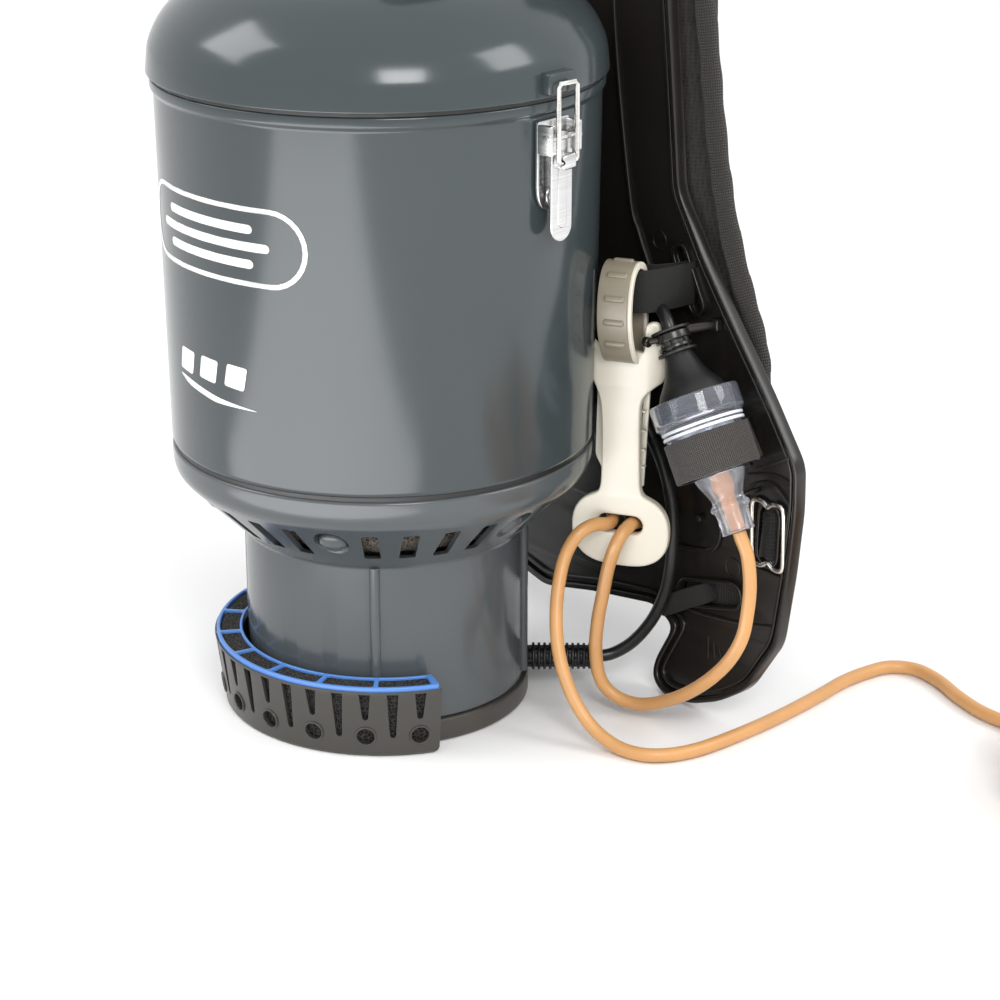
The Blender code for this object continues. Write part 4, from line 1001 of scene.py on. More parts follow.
# ---- lid latches -------------------------------------------------------------------
def make_latches():
    for side, angle in LATCHES:
        at = turn_to(angle)
        outline = fillet([(-0.0110, 0.3140), (-0.0110, 0.2800, 0.006), (-0.0075, 0.2723, 0.005),
                          (0.0075, 0.2723, 0.005), (0.0110, 0.2800, 0.006), (0.0110, 0.3140)],
                         0.0015)
        base = panel([outline], -0.1092, -0.1076, 0.0003)
        ears = [box((0.0020, 0.0085, 0.0140), (x, -0.1128, 0.3060), 0.0006)
                for x in (-0.010, 0.010)]
        pin_heads = [rod(0.0024, 0.0010, (x, -0.1140, 0.3060), "X", 0.0003, 20)
                     for x in (-0.0114, 0.0114)]
        bar = rod(0.0012, 0.0200, (0, -0.1140, 0.3060), "X", 0.0, 16)
        bead = panel([obround(0.0300, 0.0040, (0, 0.2960), 90)], -0.1100, -0.1088, 0.0005)
        rivet = lathe([(0, 0.0022, 0), (0.0032, 0.0016, 0.001), (0.0034, 0, 0), (0, 0, 0)], 28,
                      radius=0.0005)
        cap = joined([rivet, hoop(0.0050, 0.0034, 0.0005, 0, 28, 0.0002, "low")])
        place(cap, spin(90, "X"))
        move(cap, 0, -0.1092, 0.2782)
        plate = joined([base, *ears, *pin_heads, bar, bead, cap])
        dress(place(plate, at), "latch_bracket_" + side, STEEL, "latch_plate_" + side)

        blade = panel([obround(0.0515, 0.0145, (0, 0.28325), 90, 16)], -0.1145, -0.1130, 0.0005)
        swage = panel([obround(0.0300, 0.0060, (0, 0.2790), 90, 12)], -0.1150, -0.1142, 0.0004)
        y, low, half = -0.1178, 0.2955, 0.0065
        lug = box((0.0090, 0.0062, 0.0070), (0, -0.1165, low), 0.0012)
        cut(lug, rod(0.0017, 0.012, (0, y, low), "X"), solver="EXACT")
        dress(place(joined([blade, swage, lug]), at), "latch_blade_" + side, STEEL,
              "latch_lever_" + side, body="lever_" + side)

        wire = [(-0.0015, y, low), (-half + 0.001, y, low), (-half, y, low + 0.001),
                (-half, y + 0.0004, 0.3300), (-half + 0.0015, y + 0.0004, 0.3315),
                (half - 0.0015, y + 0.0004, 0.3315), (half, y + 0.0004, 0.3300),
                (half, y, low + 0.001), (half - 0.001, y, low), (0.0015, y, low)]
        dress(place(pipe(wire, 0.0012, 14), at), "latch_wire_" + side, CHROME,
              "latch_claw_" + side, body="claw_" + side)


# ---- exhaust -----------------------------------------------------------------------
def slot_cutter(low, top, wide, narrow):
    """A slot that narrows downwards to a round end."""
    arc = [(-narrow * math.cos(a), low + narrow - narrow * math.sin(a))
           for a in (math.radians(180 * i / 8) for i in range(9))]
    return panel([[(wide, top), (-wide, top), *arc]], -0.0950, -0.0780)


def make_exhaust_cover():
    section = [(0.0880, COVER_TOP + 0.0022), (0.0874, COVER_TOP - 0.0010), (0.0834, 0.0014),
               (0.0822, 0), (0.0731, 0), (0.0731, COVER_TOP), (0.0872, COVER_TOP),
               (0.0873, COVER_TOP + 0.0022)]
    shell = lathe(section, 60, -EXHAUST_HALF, 2 * EXHAUST_HALF)
    bevelled(shell, 0.0004, 2, 35)
    half = EXHAUST_HALF - 1.8
    pocket = [(0.0854, 0.0345), (0.0815, 0.0025), (0.0700, 0.0025), (0.0700, 0.0345)]
    cut(shell, lathe(pocket, 60, -half, 2 * half))
    slots, holes, rims = [], [], []
    for i in range(-7, 8):
        short = i % 2
        at = turn_to(i * SLOT_PITCH)
        low = 0.0205 if short else 0.0105
        slots.append(place(slot_cutter(low, 0.0348, 0.0028, 0.0015), at))
        if short:
            holes.append(place(rod(0.0044, 0.020, (0, -0.0835, 0.0115), "Y", 0, 36), at))
            ring = [(0.0048 * math.cos(a), -0.084896 - 0.0006 * math.sin(a),
                     0.0115 + 0.0048 * math.sin(a))
                    for a in (math.radians(10 * k) for k in range(36))]
            rims.append(place(pipe(ring, 0.0005, 8, True, (0, 1, 0)), at))
    cut(shell, joined(slots), joined(holes))
    for sign in (1, -1):
        corner = box((0.0065, 0.020, 0.0065), (-sign * 0.00125, -0.0790, 0.00125))
        cut(corner, rod(0.0045, 0.030, (-sign * 0.0045, -0.0790, 0.0045), "Y", 0, 48))
        cut(shell, place(corner, turn_to(sign * EXHAUST_HALF)))
    dress(joined([shell, *rims]), "exhaust_shell", GREY, "exhaust_cover", body="exhaust_cover")


def make_exhaust_filter():
    outer = sector(0.0738, 0.0870, 0, EXHAUST_HALF - 0.4, 0.0030, 60)
    cells = [sector(0.0753, 0.0851, (c - (CELLS - 1) / 2) * CELL_PITCH, 8.85, 0.0014, 8)
             for c in range(CELLS)]
    grid = slab([outer, *cells], COVER_TOP + GAP, FRAME_TOP, 0.0006)
    dress(grid, "exhaust_grid", BLUE, "exhaust_filter_frame", body="exhaust_filter")
    half = EXHAUST_HALF - 2.2
    section = [(0.0843, COVER_TOP + 0.0028), (0.0806, 0.0028), (0.0752, 0.0028),
               (0.0752, COVER_TOP + 0.0028)]
    bm = taken(lathe(section, 150, -half, 2 * half))
    for _ in range(2):
        long_edges = [e for e in bm.edges if e.calc_length() > 0.0022]
        bmesh.ops.subdivide_edges(bm, edges=long_edges, cuts=2, use_grid_fill=True)
    bm.normal_update()
    for vert in bm.verts:
        cell = noise.voronoi(vert.co * 420.0)[0]
        vert.co += vert.normal * (0.0009 * (0.45 - min(1.0, cell[1] - cell[0])))
    dress(new_object("exhaust_sponge", bm), "exhaust_sponge", FOAM, "exhaust_foam",
          body="exhaust_filter", sharp=0)


# ---- flex, plug, socket and lead ---------------------------------------------------
def plug_place():
    """Carry +Z at the origin to the plug's axis, from its tail end up to its neck."""
    return Matrix.Translation(PLUG_END) @ PLUG_AXIS.to_track_quat("Z", "Y").to_matrix().to_4x4()


def make_strain_relief():
    profile = [(0, RELIEF_END, 0), (0.0060, RELIEF_END)]
    rings, pitch = 11, 0.0029
    for i in range(rings):
        edge = RELIEF_END - 0.0006 - i * pitch
        radius = 0.0067 + 0.0004 * i / rings
        profile += [(radius, edge), (radius, edge - 0.0013), (0.0047, edge - 0.0015, 0.0002),
                    (0.0047, edge - 0.0027, 0.0002)]
    profile += [(0.0044, 0.0730), (0.0041, 0.0680, 0), (0, 0.0680, 0)]
    relief = lathe(profile, 40, radius=0.0005, corner=3)
    teeth = []
    for i in range(rings):
        for side in (0, 90, 180, 270):
            web = box((0.0016, 0.0016, pitch), (0.0050, 0, RELIEF_END - 0.0028 - i * pitch))
            teeth.append(place(web, turn_to(side + 45 * (i % 2))))
    relief = joined([relief, *teeth])
    place(relief, spin(90, "X"))
    place(relief, turn_to(RELIEF_ANGLE) @ Matrix.Translation((0, 0, RELIEF_Z)))
    return dress(relief, "ribbed_relief", RUBBER, "flex_strain_relief")


def make_flex(relief, plug):
    outwards = Vector((*polar(1.0, RELIEF_ANGLE), 0))
    start = outwards * (RELIEF_END + GAP) + Vector((0, 0, RELIEF_Z))
    end = PLUG_TOP + PLUG_AXIS * GAP
    route = [start, start + outwards * STUB, *FLEX_ROUTE, end + PLUG_AXIS * STUB, end]
    points = spaced(route, 0.0030)
    flex = cord_curve("flex_cord", points, FLEX_R)
    dress(flex, "flex_cord", BLACK_CORD, "machine_flex")
    round(path_length(points), 3)


def make_plug():
    n = PLUG_LENGTH
    body = lathe([(0, n, 0), (0.0050, n), (0.0062, n - 0.004, 0.002), (0.0062, n - 0.010),
                  (0.0076, n - 0.0160, 0.004), (0.0106, n - 0.0240, 0.004),
                  (0.0158, n - 0.0310, 0.004), (0.0176, n - 0.0360, 0.002),
                  (0.0178, n - 0.0395), (0.0178, n - 0.0415, 0),
                  (0, n - 0.0415, 0)], 96, radius=0.0008)
    rim = hoop(0.0182, 0.0160, n - 0.0368, n - 0.0398, 96, 0.0007, "inner")
    flanges = [hoop(0.0098, 0.0040, n - z, n - z - 0.0014, 64, 0.0004, "inner")
               for z in (0.0005, 0.0115)]
    seam = box((0.0009, 0.0370, 0.0006), (0, 0, n - 0.0380))
    knobs = [place(box((0.0030, 0.0030, 0.0080), (0.0062, 0, n - 0.0075), 0.0006), turn_to(a))
             for a in (20, 110, 200, 290)]
    plug = place(joined([body, rim, *flanges, seam, *knobs]), plug_place())
    return dress(plug, "moulded_plug", RUBBER, "machine_plug")


def make_clip():
    n = PLUG_LENGTH
    ring = place(hoop(0.0088, 0.0066, n - 0.0025, n - 0.0065, 56, 0.0006), plug_place())
    start = Vector((0.1150, 0.0960, 0.2012))
    end = Vector((0.1192, 0.1118, 0.2012))
    arm = ribbon([start, end], (0, 0, 1), 0.0046, 0.0036)
    side = Vector((-0.0020, 0.0005, 0))
    rail = ribbon([start + side, end + side], (0, 0, 1), 0.0018, 0.0016)
    post = box((0.0058, 0.0036, 0.0058), (0.1190, 0.1127, 0.2010), 0.0008)
    knob = pipe([Vector((0.1120, 0.0870, 0.1978)), Vector((0.1082, 0.0835, 0.1962)),
                 Vector((0.1060, 0.0815, 0.1955))], 0.0017, 16)
    ball = rod(0.0026, 0.0034, (0.1050, 0.0806, 0.1952), "X", 0.0009, 20)
    collar = place(hoop(0.0082, 0.0058, n - 0.0085, n - 0.0105, 56, 0.0005), plug_place())
    dress(joined([ring, collar, arm, rail, post, knob, ball]), "neck_clip", BLACK, "plug_clip")


def make_socket():
    at = plug_place()
    top = PLUG_LENGTH - 0.0345
    wall = [(0.0224, top), (0.0224, top - 0.0120), (0.0207, top - 0.0132), (0.0192, top - 0.0190),
            (0.0192, 0.0302), (0, 0.0302, 0), (0, 0.0330, 0), (0.0172, 0.0330),
            (0.0172, top - 0.0118), (0.0196, top - 0.0100), (0.0196, top)]
    socket = dress(place(lathe(wall, 96, radius=0.0010), at), "socket_body", CLEAR, "lead_socket")
    threads = [hoop(0.0206, 0.0188, top - z, top - z - 0.0016, 96, 0.0006)
               for z in (0.0137, 0.0162)]
    threads = dress(place(joined(threads), at), "socket_thread", WHITE_THREAD)
    core = lathe([(0, top - 0.0150, 0), (0.0150, top - 0.0150), (0.0150, 0.0340), (0, 0.0340, 0)],
                 64, radius=0.002)
    core = dress(place(core, at), "socket_core", WHITE_THREAD)
    funnel = [(0.0128, 0.0297), (0.0118, 0.0262), (0.0082, 0.0185, 0.003), (0.0080, 0.0160),
              (0.0100, 0.0138), (0.0098, 0.0122), (0.0082, 0.0105), (0.0080, 0.0020),
              (0.0084, 0.0), (0.0043, 0.0), (0.0045, 0.0160), (0.0062, 0.0240),
              (0.0108, 0.0297)]
    boot = dress(place(lathe(funnel, 80, radius=0.0009), at), "socket_boot", FROSTED,
                 "lead_socket_boot")
    grip = [(0, 0.0285, 0), (0.0050, 0.0285), (0.0056, 0.0235), (0.0042, 0.0205),
            (0.0038, 0.0010, 0), (0, 0.0010, 0)]
    inner = dress(place(lathe(grip, 48, radius=0.0008), at), "boot_core", ORANGE_CORE)
    return [socket, threads, core, boot, inner]


def make_socket_strap():
    """Coarse webbing wrapped round the socket, its tail running back to the plate."""
    at = plug_place()
    low, high = 0.0302, 0.0502
    middle = (low + high) / 2
    radius = 0.0205
    path = []
    back = at.inverted().to_3x3() @ Vector((0, 1, 0))
    facing = math.atan2(back.y, back.x)
    steps = 30
    for i in range(steps + 1):
        a = facing + math.radians(-150 + 300 * i / steps)
        path.append(at @ Vector((-radius * math.cos(a), -radius * math.sin(a), middle)))
    start, finish = path[0], path[-1]
    anchor = [Vector((start.x + 0.008, 0.1142, start.z + 0.003)),
              Vector((start.x + 0.004, 0.1105, start.z + 0.001))]
    ending = [Vector((finish.x - 0.002, 0.1105, finish.z)),
              Vector((finish.x - 0.003, 0.1140, finish.z))]
    loop = ribbon(smooth([*anchor, *path, *ending], 3), PLUG_AXIS, high - low, 0.0015)
    return dress(loop, "socket_webbing", STRAP_WEAVE, "socket_strap")


def coil_points():
    """The wound turns: one layer inwards, then upright columns from the inside out."""
    places = [(column, 0) for column in range(COIL_COLUMNS)]
    rising = True
    for column in range(COIL_COLUMNS - 1, -1, -1):
        layers = list(range(1, COIL_LAYERS))
        if column == 0:
            layers = layers[:-1]
        if not rising:
            layers.reverse()
        rising = not rising
        places += [(column, layer) for layer in layers]
    start, steps = 116, 24
    points = []
    for turn, (column, layer) in enumerate(places):
        nxt = places[min(turn + 1, len(places) - 1)]
        whole = steps if turn < len(places) - 1 else round(steps * 320 / 360)
        for step in range(whole):
            t = step / steps
            slide = max(0.0, (t - 0.75) * 4) if turn < len(places) - 1 else 0.0
            slide = slide * slide * (3 - 2 * slide)
            radius = COIL_OUTER_TURN - COIL_COLUMN_PITCH * (column + (nxt[0] - column) * slide)
            z = LEAD_REST + COIL_LAYER_PITCH * (layer + (nxt[1] - layer) * slide)
            angle = math.radians(start - 360 * t)
            points.append(COIL_CENTRE + Vector((radius * math.cos(angle),
                                                radius * math.sin(angle), z)))
    return points


def make_lead():
    start = PLUG_END - PLUG_AXIS * GAP
    visible = [start, start - PLUG_AXIS * STUB, *LEAD_ROUTE[:-2]]
    neck = Vector(PLUG_AT) + Vector((0, 0.0403, 0))
    coil = coil_points()
    head = spaced([*visible, *COIL_ENTRY, coil[0], coil[1]], 0.0030)
    tail = spaced([coil[-2], coil[-1], *COIL_EXIT, neck], 0.0040)
    points = head[:-3] + coil[1:-2] + tail[1:]
    lead = cord_curve("lead_cord", points, LEAD_R)
    dress(lead, "lead_cord", ORANGE, "lead", "lead_coil")
    ties = []
    for angle in (35, 215):
        at = Matrix.Translation(COIL_CENTRE) @ turn_to(angle + 90)
        top = LEAD_REST + COIL_LAYER_PITCH * (COIL_LAYERS - 1) + LEAD_R
        loop = fillet([(-0.0937, 0.0004), (-0.0390, 0.0004), (-0.0390, top + 0.001),
                       (-0.0937, top + 0.001)], 0.004, 5)
        path = [Vector((0, y, z)) for y, z in loop]
        strap = ribbon([*path, path[0]], (1, 0, 0), 0.0120, 0.0012)
        ties.append(place(strap, at))
    tie = dress(joined(ties), "coil_tie", WEBBING)
    x, y, z = PLUG_AT
    body = box((0.0360, 0.0500, 0.0240), (x, y, z), 0.0055, segments=5)
    waist = [box((0.0400, 0.0030, 0.0150), (x, y + dy, z), 0.0012)
             for dy in (-0.006, 0.002, 0.010)]
    neck_piece = lathe([(0, 0.0400, 0), (0.0052, 0.0400), (0.0062, 0.0300), (0.0072, 0.0250),
                        (0.0078, 0.0200, 0), (0, 0.0200, 0)], 40, radius=0.0008)
    place(neck_piece, Matrix.Translation((x, y, z)) @ spin(-90, "X"))
    plug = dress(joined([body, *waist, neck_piece]), "mains_plug", ORANGE_CORE, "lead_plug")
    pins = [box((0.0016, 0.0190, 0.0063), (x + dx, y - 0.0330, h), 0.0003)
            for dx, h in ((-0.007, 0.0085), (0.007, 0.0085), (0.0, 0.0180))]
    pins = dress(joined(pins), "plug_pins", STEEL)
    round(path_length(points), 2)


# ---- cord hook ---------------------------------------------------------------------
def hook_place():
    return Matrix.Translation(HOOK_ORIGIN) @ turn_to(HOOK_ANGLE)


def hook_outline():
    """Disc, arm and winged collar, seen from the front."""
    disc = [(0.0252 * math.copysign(abs(math.cos(a)) ** 0.7, math.cos(a)),
             0.0955 + 0.0192 * math.copysign(abs(math.sin(a)) ** 0.85, math.sin(a)))
            for a in (math.radians(d) for d in range(-240, 61, 5))]
    arm = [(0.0098, 0.1150, 0.007), (0.0092, 0.1450, 0.02), (0.0094, 0.1640, 0.006),
           (0.0150, 0.1700, 0.006), (0.0215, 0.1745, 0.004), (0.0222, 0.1830, 0.006),
           (0.0186, 0.1965, 0.003), (0.0172, 0.2038, 0.003), (0.0112, 0.2032, 0.003),
           (0.0108, 0.1885, 0.002), (-0.0120, 0.1885, 0.002), (-0.0176, 0.1940, 0.002),
           (-0.0182, 0.1770, 0.005), (-0.0108, 0.1640, 0.008), (-0.0098, 0.1450, 0.02),
           (-0.0104, 0.1150, 0.007)]
    return fillet([(x, z, 0) for x, z in disc] + arm, 0, 6)


def arch_outline():
    """The hoop of the hook from the side: bowed out, over the top and down behind."""
    middle = smooth([(0.0020, 0.1838, 0), (-0.0045, 0.1872, 0), (-0.0102, 0.1960, 0),
                     (-0.0134, 0.2070, 0), (-0.0126, 0.2200, 0), (-0.0080, 0.2292, 0),
                     (0.0, 0.2322, 0), (0.0085, 0.2285, 0), (0.0128, 0.2190, 0),
                     (0.0134, 0.2000, 0), (0.0134, 0.1810, 0)], 6)
    outer, inner = [], []
    for point, (along, _) in zip(middle, frames(middle, Vector((0, 0, 1)))):
        normal = Vector((along.y, -along.x, 0))
        outer.append((point - normal * 0.0017)[:2])
        inner.append((point + normal * 0.0017)[:2])
    return outer + inner[::-1]


def swept_wings(co):
    """Bend the collar's wings back round the canister."""
    if co.z > 0.150:
        reach = max(0.0, abs(co.x) - 0.0100)
        co.y += WING_SWEEP * reach * reach


def make_hook():
    slot = obround(0.0236, 0.0094, (0, HOOK_SLOT_Z), 0, 12)
    body = panel([hook_outline(), slot], 0.0, 0.0050, 0.0010)
    upright = Matrix(((0, 0, 1, 0), (1, 0, 0, 0), (0, 1, 0, 0), (0, 0, 0, 1)))
    band = place(flat_outline([arch_outline()], 0.0152, 0.0003), upright)
    move(band, -0.0009, 0, 0)
    edge = place(flat_outline([arch_outline()], 0.0018, 0.0005), upright)
    move(edge, 0.0076, 0, 0)
    reshaped(body, (1, 0, 0), (-0.0145, -0.0125, 0.0120, 0.0145, 0.0170, 0.0195, 0.0215),
             swept_wings)
    foot = box((0.0214, 0.0180, 0.0080), (0.0, 0.0098, 0.1815), 0.0022)
    bars = []
    for y, z, tilt in ((-0.0120, 0.1955, 26), (-0.0149, 0.2070, 6), (-0.0142, 0.2185, -14),
                       (-0.0098, 0.2290, -48), (0.0, 0.2336, -90)):
        bar = box((0.0104, 0.0030, 0.0030), (0, 0, 0), 0.0011)
        place(bar, spin(tilt, "X"))
        bars.append(move(bar, 0, y, z))
    strip = panel([fillet([(0.0072, 0.1170), (0.0098, 0.1170), (0.0126, 0.1720),
                           (0.0092, 0.1720)], 0.001)], 0.0072, 0.0088, 0.0004)
    ribs = [box((0.0034, 0.0036, 0.0010), (0.0092, 0.0062, z), 0.0003)
            for z in (0.1280, 0.1370, 0.1470, 0.1570)]
    leaf = panel([fillet([(-0.0150, 0.1320), (-0.0110, 0.1240), (-0.0108, 0.2250),
                          (-0.0130, 0.2270)], 0.002)], 0.0056, 0.0070, 0.0004)
    hook = joined([body, edge, foot, strip, *ribs, leaf])
    dress(place(hook, hook_place()), "lead_hook", IVORY, "cord_hook")
    arch = place(joined([band, *bars]), hook_place())
    # the hoop wears the ivory's darker copy, with painted shade in its colour
    dress(arch, "hook_hoop", IVORY_PAINTED_SHADE)


def make_hook_webbing():
    at = hook_place()
    near = [(0.0105, 0.0054), (-0.0090, 0.0050), (-0.0108, 0.0110), (-0.0090, 0.0172),
            (0.0110, 0.0172)]
    z = 0.2180
    path = [at @ Vector((x, y, z)) for x, y in near]
    path = [Vector((0.1010, 0.1150, z)), *path, Vector((0.0985, 0.1150, z))]
    dense = smooth(path, 5)
    loop = ribbon(dense, (0, 0, 1), 0.0215, 0.0013)
    dress(loop, "hook_strap", WEBBING, "hook_webbing")


# ---- harness plate -----------------------------------------------------------------
def plate_outline(distance=0.0):
    corners = PLATE_HALF[:-1] + mirrored(PLATE_HALF[1:])
    return fillet(inset(corners, distance), 0.006, 5)


def lean(co):
    """Fold what is below the plate's bend line forward, in a short curve."""
    below = max(0.0, FOOT_BEND_Z + 0.004 - co.z)
    share = min(1.0, below / 0.008)
    co.y -= FOOT_LEAN * max(0.0, below - 0.004) * share + FOOT_LEAN * 0.002 * share


def lip(outline, outward, front):
    """A raised lip round a slot."""
    return panel([shrink(outline, -outward), outline], front, PLATE_FACE + 0.0004, 0.0005)


def ridge(points, width, front):
    """A raised line on the plate's face."""
    path = [Vector((x, (front + PLATE_FACE) / 2 + 0.0002, z)) for x, z in points]
    depth = PLATE_FACE - front
    return ribbon(path, (0, 1, 0), depth, width)


def make_back_plate():
    slots = []
    for sign in (1, -1):
        for length, height, x, z, tilt in ((0.0440, 0.0120, 0.1195, 0.0595, 14),
                                           (0.0310, 0.0120, *RING_CENTRE, 88),
                                           (0.0340, 0.0080, 0.0985, 0.2190, -62)):
            slots.append(obround(length, height, (sign * x, z), sign * tilt))
    grip = obround(0.0900, 0.0220, (0, 0.4180), 0, 12)
    sheet = panel([plate_outline(0.0004), *slots, grip], PLATE_FACE, PLATE_BACK, 0.0005)
    rim = panel([plate_outline(), plate_outline(0.0030)], PLATE_FRONT, PLATE_BACK, 0.0009)
    second = panel([plate_outline(0.0046), plate_outline(0.0066)], 0.1127, 0.1154, 0.0007)
    lips = [lip(slot, 0.0018, 0.1126) for slot in slots] + [lip(grip, 0.0022, 0.1126)]
    parts = [sheet, rim, second, *lips]
    for sign in (1, -1):
        def side(points):
            return [(sign * x, z) for x, z in points]
        upper = side([(0.0380, 0.4000), (0.0430, 0.3300), (0.0553, 0.2531), (0.0616, 0.2364),
                      (0.0700, 0.2200), (0.0740, 0.2120)])
        pocket = side(fillet([(0.0500, 0.1150), (0.0560, 0.0780), (0.0913, 0.0773),
                              (0.1250, 0.0830), (0.1262, 0.1080), (0.1170, 0.1330),
                              (0.0900, 0.1800)], 0.012, 6, closed=False))
        step = side([(0.1430, 0.1300), (0.1600, 0.1345), (0.1730, 0.1330)])
        well = side(fillet([(0.1400, 0.0830), (0.1720, 0.0830), (0.1745, 0.1200),
                            (0.1600, 0.1310), (0.1450, 0.1260), (0.1395, 0.1050)], 0.006, 5))
        across = side([(0.0890, 0.0478), (0.1050, 0.0462), (0.1400, 0.0500), (0.1660, 0.0560)])
        for points, width, front in (
                (smooth_flat(upper), 0.0022, 0.1126), (pocket, 0.0024, 0.1126),
                (smooth_flat(step), 0.0012, 0.1136), ([*well, well[0]], 0.0014, 0.1130),
                (smooth_flat(across), 0.0020, 0.1138)):
            parts.append(ridge(points, width, front))
        for i in range(3):
            x = 0.1235 + 0.0045 * i
            parts.append(ridge(side([(x, 0.0270 + 0.001 * i), (x - 0.0030, 0.0370 - 0.002 * i)]),
                               0.0009, 0.1143))
        for x, z, radius in ((0.1340, 0.0780, 0.0052), (0.0761, 0.2343, 0.0050)):
            mark = hoop(radius, radius - 0.0007, 0.0006, -0.0004, 40, 0.0003, "low")
            place(mark, spin(90, "X"))
            parts.append(move(mark, sign * x, PLATE_FACE, z))
        pin = rod(0.0020, 0.0050, (sign * 0.1117, 0.1135, 0.0984), "Y", 0.0008, 24)
        parts.append(pin)
        shelf = box((0.0260, 0.0030, 0.0014), (0, 0, 0), 0.0004)
        place(shelf, spin(-28, "Y"))
        move(shelf, 0.1600, 0.1140, 0.1400)
        if sign < 0:
            place(shelf, Matrix.Diagonal((-1, 1, 1, 1)))
        parts.append(shelf)
    folds = (0.0490, 0.0465, 0.0440, 0.0415, 0.0300, 0.0150)
    plate = reshaped(joined(parts), (0, 0, 1), folds, lean)
    dress(plate, "harness_plate", BLACK, "back_plate")
    peg = pipe([Vector((0.1500, 0.1145, 0.1240)), Vector((0.1462, 0.1010, 0.1215)),
                Vector((0.1440, 0.0960, 0.1200))], 0.0014, 12)
    tip = rod(0.0019, 0.0030, (0.1436, 0.0950, 0.1198), "Y", 0.0006, 16)
    dress(joined([peg, tip]), "socket_peg", BLACK)
    for name in ("bracket_lower", "bracket_upper"):
        dress(refined(name, 0.0016), name + "_block", BLACK, name)


def smooth_flat(points):
    return [(p.x, p.y) for p in smooth([(x, z, 0) for x, z in points], 6)]


def make_strap_rings():
    for side, sign in SIDES:
        width, height, dip = 0.0212, 0.0342, 0.0030
        w, h = width / 2, height / 2
        half = [(0.0, -h + dip), (0.0030, -h + 0.0008), (0.0060, -h), (w, -h + 0.001),
                (w, h - 0.001), (0.0060, h), (0.0030, h - 0.0008), (0.0, h - dip)]
        loop = fillet([(x, z, 0.0012 if abs(x) < 0.004 else 0.0045)
                       for x, z in half + mirrored(half[1:-1])], 0, 5)
        tilt = Matrix.Rotation(math.radians(-2 * sign), 3, "Y")
        centre = Vector((sign * RING_CENTRE[0], PLATE_FACE - GAP - 0.0016, RING_CENTRE[1]))
        path = [centre + tilt @ Vector((x, 0, z)) for x, z in loop]
        ring = pipe(path, 0.0014, 14, True, (0, 1, 0))
        dress(ring, "strap_loop_" + side, CHROME, "strap_ring_" + side)
        points, radii = [], []
        count = 60
        for i in range(count + 1):
            t = i / count
            points.append(Vector((sign * RING_CENTRE[0], 0.1166, 0.0895 + 0.0270 * t)))
            swell = 0.0052 * (1 - (2 * t - 1) ** 8 * 0.5)
            radii.append(swell + 0.00035 * math.sin(t * 2 * math.pi * 14))
        roll = pipe(points, radii, 28)
        dress(roll, "webbing_roll_" + side, WEBBING)


def make_belt_strap():
    """The belt's webbing, through the lower slots and round the plate's edge."""
    for side, sign in SIDES:
        path = [(0.1180, 0.1225, 0.0640), (0.1175, 0.1195, 0.0612), (0.1165, 0.1160, 0.0592),
                (0.1130, 0.1128, 0.0572), (0.1050, 0.1110, 0.0530), (0.0960, 0.1090, 0.0478),
                (0.0895, 0.1090, 0.0445), (0.0868, 0.1130, 0.0440), (0.0885, 0.1200, 0.0470),
                (0.0980, 0.1225, 0.0560), (0.1060, 0.1230, 0.0620)]
        dense = smooth([(sign * x, y, z) for x, y, z in path], 5)
        across = Vector((sign * 0.42, 0.10, -0.90)).normalized()
        strap = ribbon(dense, across, 0.0105, 0.0024)
        dress(strap, "belt_strap_" + side, WEBBING)
        flap = [(0.0960, 0.0480), (0.1420, 0.0560), (0.1440, 0.0690), (0.1380, 0.0760),
                (0.1000, 0.0720)]
        if sign < 0:
            flap = mirrored(flap)
        backing = panel([fillet(flap, 0.004)], 0.1190, 0.1204, 0.0004)
        dress(backing, "belt_flap_" + side, MESH)


# ---- padding -----------------------------------------------------------------------
def inflated(obj, voxel, pressure, cap, clamp=None):
    """Swell a solid like stuffed cloth: remesh, a short cloth run, then one subdivision."""
    remesh = obj.modifiers.new("remesh", "REMESH")
    remesh.mode = "VOXEL"
    remesh.voxel_size = voxel
    settle(obj)
    before = [v.co.copy() for v in obj.data.vertices]
    cloth = obj.modifiers.new("cloth", "CLOTH")
    cloth.settings.use_pressure = True
    cloth.settings.uniform_pressure_force = pressure
    cloth.settings.effector_weights.gravity = 0.0
    cloth.settings.quality = 5
    cloth.collision_settings.use_collision = False
    scene = bpy.context.scene
    cloth.point_cache.frame_start = 1
    cloth.point_cache.frame_end = 20
    for number in range(1, 21):
        scene.frame_set(number)
    settle(obj)
    scene.frame_set(1)
    for vert, start in zip(obj.data.vertices, before):
        swell = vert.co - start
        if swell.length > cap:
            vert.co = start + swell * (cap / swell.length)
        if clamp is not None:
            clamp(vert.co)
    soften = obj.modifiers.new("smooth", "SMOOTH")
    soften.factor = 0.5
    soften.iterations = 4
    settle(obj)
    finer = obj.modifiers.new("finer", "SUBSURF")
    finer.levels = 1
    finer.render_levels = 1
    return settle(obj)


def pad_outline(distance):
    return shrink(fillet(PAD_HALF + mirrored(PAD_HALF[1:]), 0.03, 5), distance)


def quilted(co):
    """Sewn channels across the pad's wearer side."""
    for z in (0.120, 0.180, 0.240, 0.300, 0.355):
        depth = 0.0045 * math.exp(-((co.z - z) / 0.0045) ** 2)
        if co.y > 0.130:
            co.y -= depth
    if abs(co.x) < 0.02 and co.y > 0.130:
        co.y -= 0.0040 * math.exp(-(co.x / 0.006) ** 2)
    co.y = max(co.y, 0.1192)


